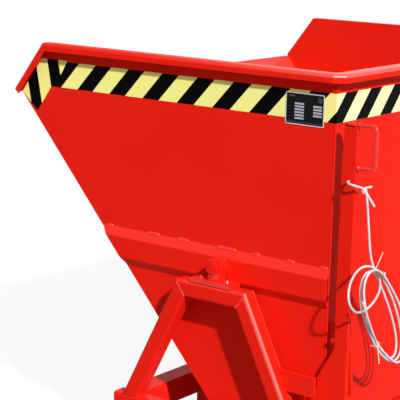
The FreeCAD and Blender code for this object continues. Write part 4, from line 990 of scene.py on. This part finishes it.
# braided tube: a circle carried along the line, its radius lowered where two opposite lays of strands dip
def braidedTube(name, line, finish, aside):
    look = cordLook
    radius = look["diameter"] / 2
    path, stations = evenSteps(line, look["station"])
    along = unit(np.gradient(path, axis=0))
    side = unit(np.cross(along, aside))
    other = np.cross(along, side)
    angle = fullTurn(look["around"])[None, :]
    lay, wave = stations[:, None] / (radius * look["lay"]) * np.pi, look["waves"] * angle
    rise = np.abs(np.sin(wave + lay) * np.sin(wave - lay))
    swell = radius * (1.0 - look["dip"] + look["dip"] * rise)
    ring = np.cos(angle)[..., None] * side[:, None, :] + np.sin(angle)[..., None] * other[:, None, :]
    points = path[:, None, :] + swell[..., None] * ring
    uv = np.stack(np.broadcast_arrays(stations[:, None], angle / (2 * np.pi)), axis=-1)
    return skin(name, [points], finish, uvs=[uv], smooth=beadAngle), path


# white braid: strands cross on the surface in two directions; painted shade darkens the gaps between them,
# and soil darkens patches
def cordFibre():
    look = cordLook
    finish = Finish("cordFibre")
    along, around = finish.measures()
    turns, lay = along / (look["diameter"] * look["strand"]), around * look["strands"]
    first, second = (abs(phase.part() * 2.0 - 1.0) for phase in (turns + lay, turns - lay))
    gap = first.least(second).ramp(*look["gapEdges"])
    soil = finish.noise(finish.place(), *look["soil"]).ramp(*look["soilEdges"])
    clearOfShadeAndSoil = gap * look["gapShare"] + soil * look["soilShare"]
    return finish.close({
        "Base Color": finish.blend(clearOfShadeAndSoil, look["shade"], look["white"]), "Roughness": look["rough"],
        "Normal": finish.bump(gap, *look["bump"])})


# knot: the cord wound about its own line in a helix, then pulled out to a stub on one side and a tail
knotLook = {
    "place": (-0.0365, 0.0005, -0.0165), "way": (-0.28, -0.36, -0.89), "turns": 2.0, "turnPoints": 8,
    "pitch": 0.0046, "reach": 0.0044, "stub": [(-0.0475, -0.0105, -0.0075), (-0.0430, -0.0045, -0.0085)],
    "tail": [(-0.0400, -0.0110, -0.0290), (-0.0500, -0.0215, -0.0508)]}


# the helix's points, a few to a turn, between the given points of the two ends
def knotPoints():
    look = knotLook
    way = unit(look["way"])
    side = unit(np.cross(way, xWay))
    turn = np.linspace(0.0, 2 * np.pi * look["turns"], int(look["turnPoints"] * look["turns"]) + 1)[:, None]
    lift = (turn / (2 * np.pi) - look["turns"] / 2) * look["pitch"]
    ring = look["reach"] * (np.cos(turn) * side + np.sin(turn) * np.cross(way, side))
    helix = np.array(look["place"]) + lift * way + ring
    return np.concatenate([look["stub"], helix, look["tail"]]) + cordHole


fibre = cordFibre()
pullCord, cordPath = braidedTube("pullCord", splinePoints(cordPoints()), fibre, xWay)
cordKnot = braidedTube("cordKnot", splinePoints(knotPoints()), fibre, np.array(knotLook["way"]))[0]
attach(cordKnot, "release_lever")
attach(pullCord, "release_lever")
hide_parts("pull_cord", "cord_coil")
print("cord", round(float(reachAlong(cordPath)[-1]), 3), "m")

# floor and light: a pale floor that the camera and mirrors see as white, with the object's shadow left on it
stageLook = {"size": 60.0, "bounce": (0.32, 0.32, 0.32), "seen": (0.96, 0.96, 0.96), "white": 0.92,
             "sky": (1.0, 1.0, 1.0), "world": 0.33, "sun": 4.35, "sunWay": (0.70, -0.42, -0.575),
             "sunWidth": 2.0}


# 1 for rays from the camera, off a mirror or through glass, and 0 for light that bounces
def seenShare(finish):
    rays = finish.add("ShaderNodeLightPath").socket.node
    camera, mirror, glass = (Wire(finish, rays.outputs[f"Is {kind} Ray"])
                             for kind in ("Camera", "Glossy", "Transmission"))
    return camera.most(mirror).most(glass)


# the floor mixes a plain surface, which takes the shadow, with a share of white where it is seen
def makeFloor():
    look = stageLook
    half = look["size"] / 2
    grid = np.array([[(x, y, 0.0) for x in (-half, half)] for y in (-half, half)])
    finish = Finish("paleFloor")
    seen = seenShare(finish)
    tone = finish.blend(seen, look["bounce"], look["seen"])
    plain = finish.add("ShaderNodeBsdfDiffuse", None, {"Color": tone})
    white = finish.add("ShaderNodeEmission", None, {"Strength": 1.0})
    mixed = finish.add("ShaderNodeMixShader", None, {0: seen * look["white"], 1: plain, 2: white})
    finish.add("ShaderNodeOutputMaterial", None, {"Surface": mixed})
    floor = skin("paleFloor", [grid], finish.owner, ring=False, caps=False)


# the sky is white where it is seen and gives a share of that as light; the sun's back looks against its way
def makeLight():
    look = stageLook
    sky = Finish("studioSky", "worlds")
    scene.world = sky.owner
    strength = seenShare(sky) * (1.0 - look["world"]) + look["world"]
    light = sky.add("ShaderNodeBackground", None, {"Color": look["sky"], "Strength": strength})
    sky.add("ShaderNodeOutputWorld", None, {"Surface": light})
    lamp = bpy.data.lights.new("softSun", "SUN")
    lamp.energy, lamp.angle = look["sun"], math.radians(look["sunWidth"])
    sun = bpy.data.objects.new("softSun", lamp)
    back = -unit(look["sunWay"])
    side = unit(np.cross(zWay, back))
    sun.matrix_world = turnTo(side, np.cross(back, side), back)
    scene.collection.objects.link(sun)


makeFloor()
makeLight()
print("floor and light")
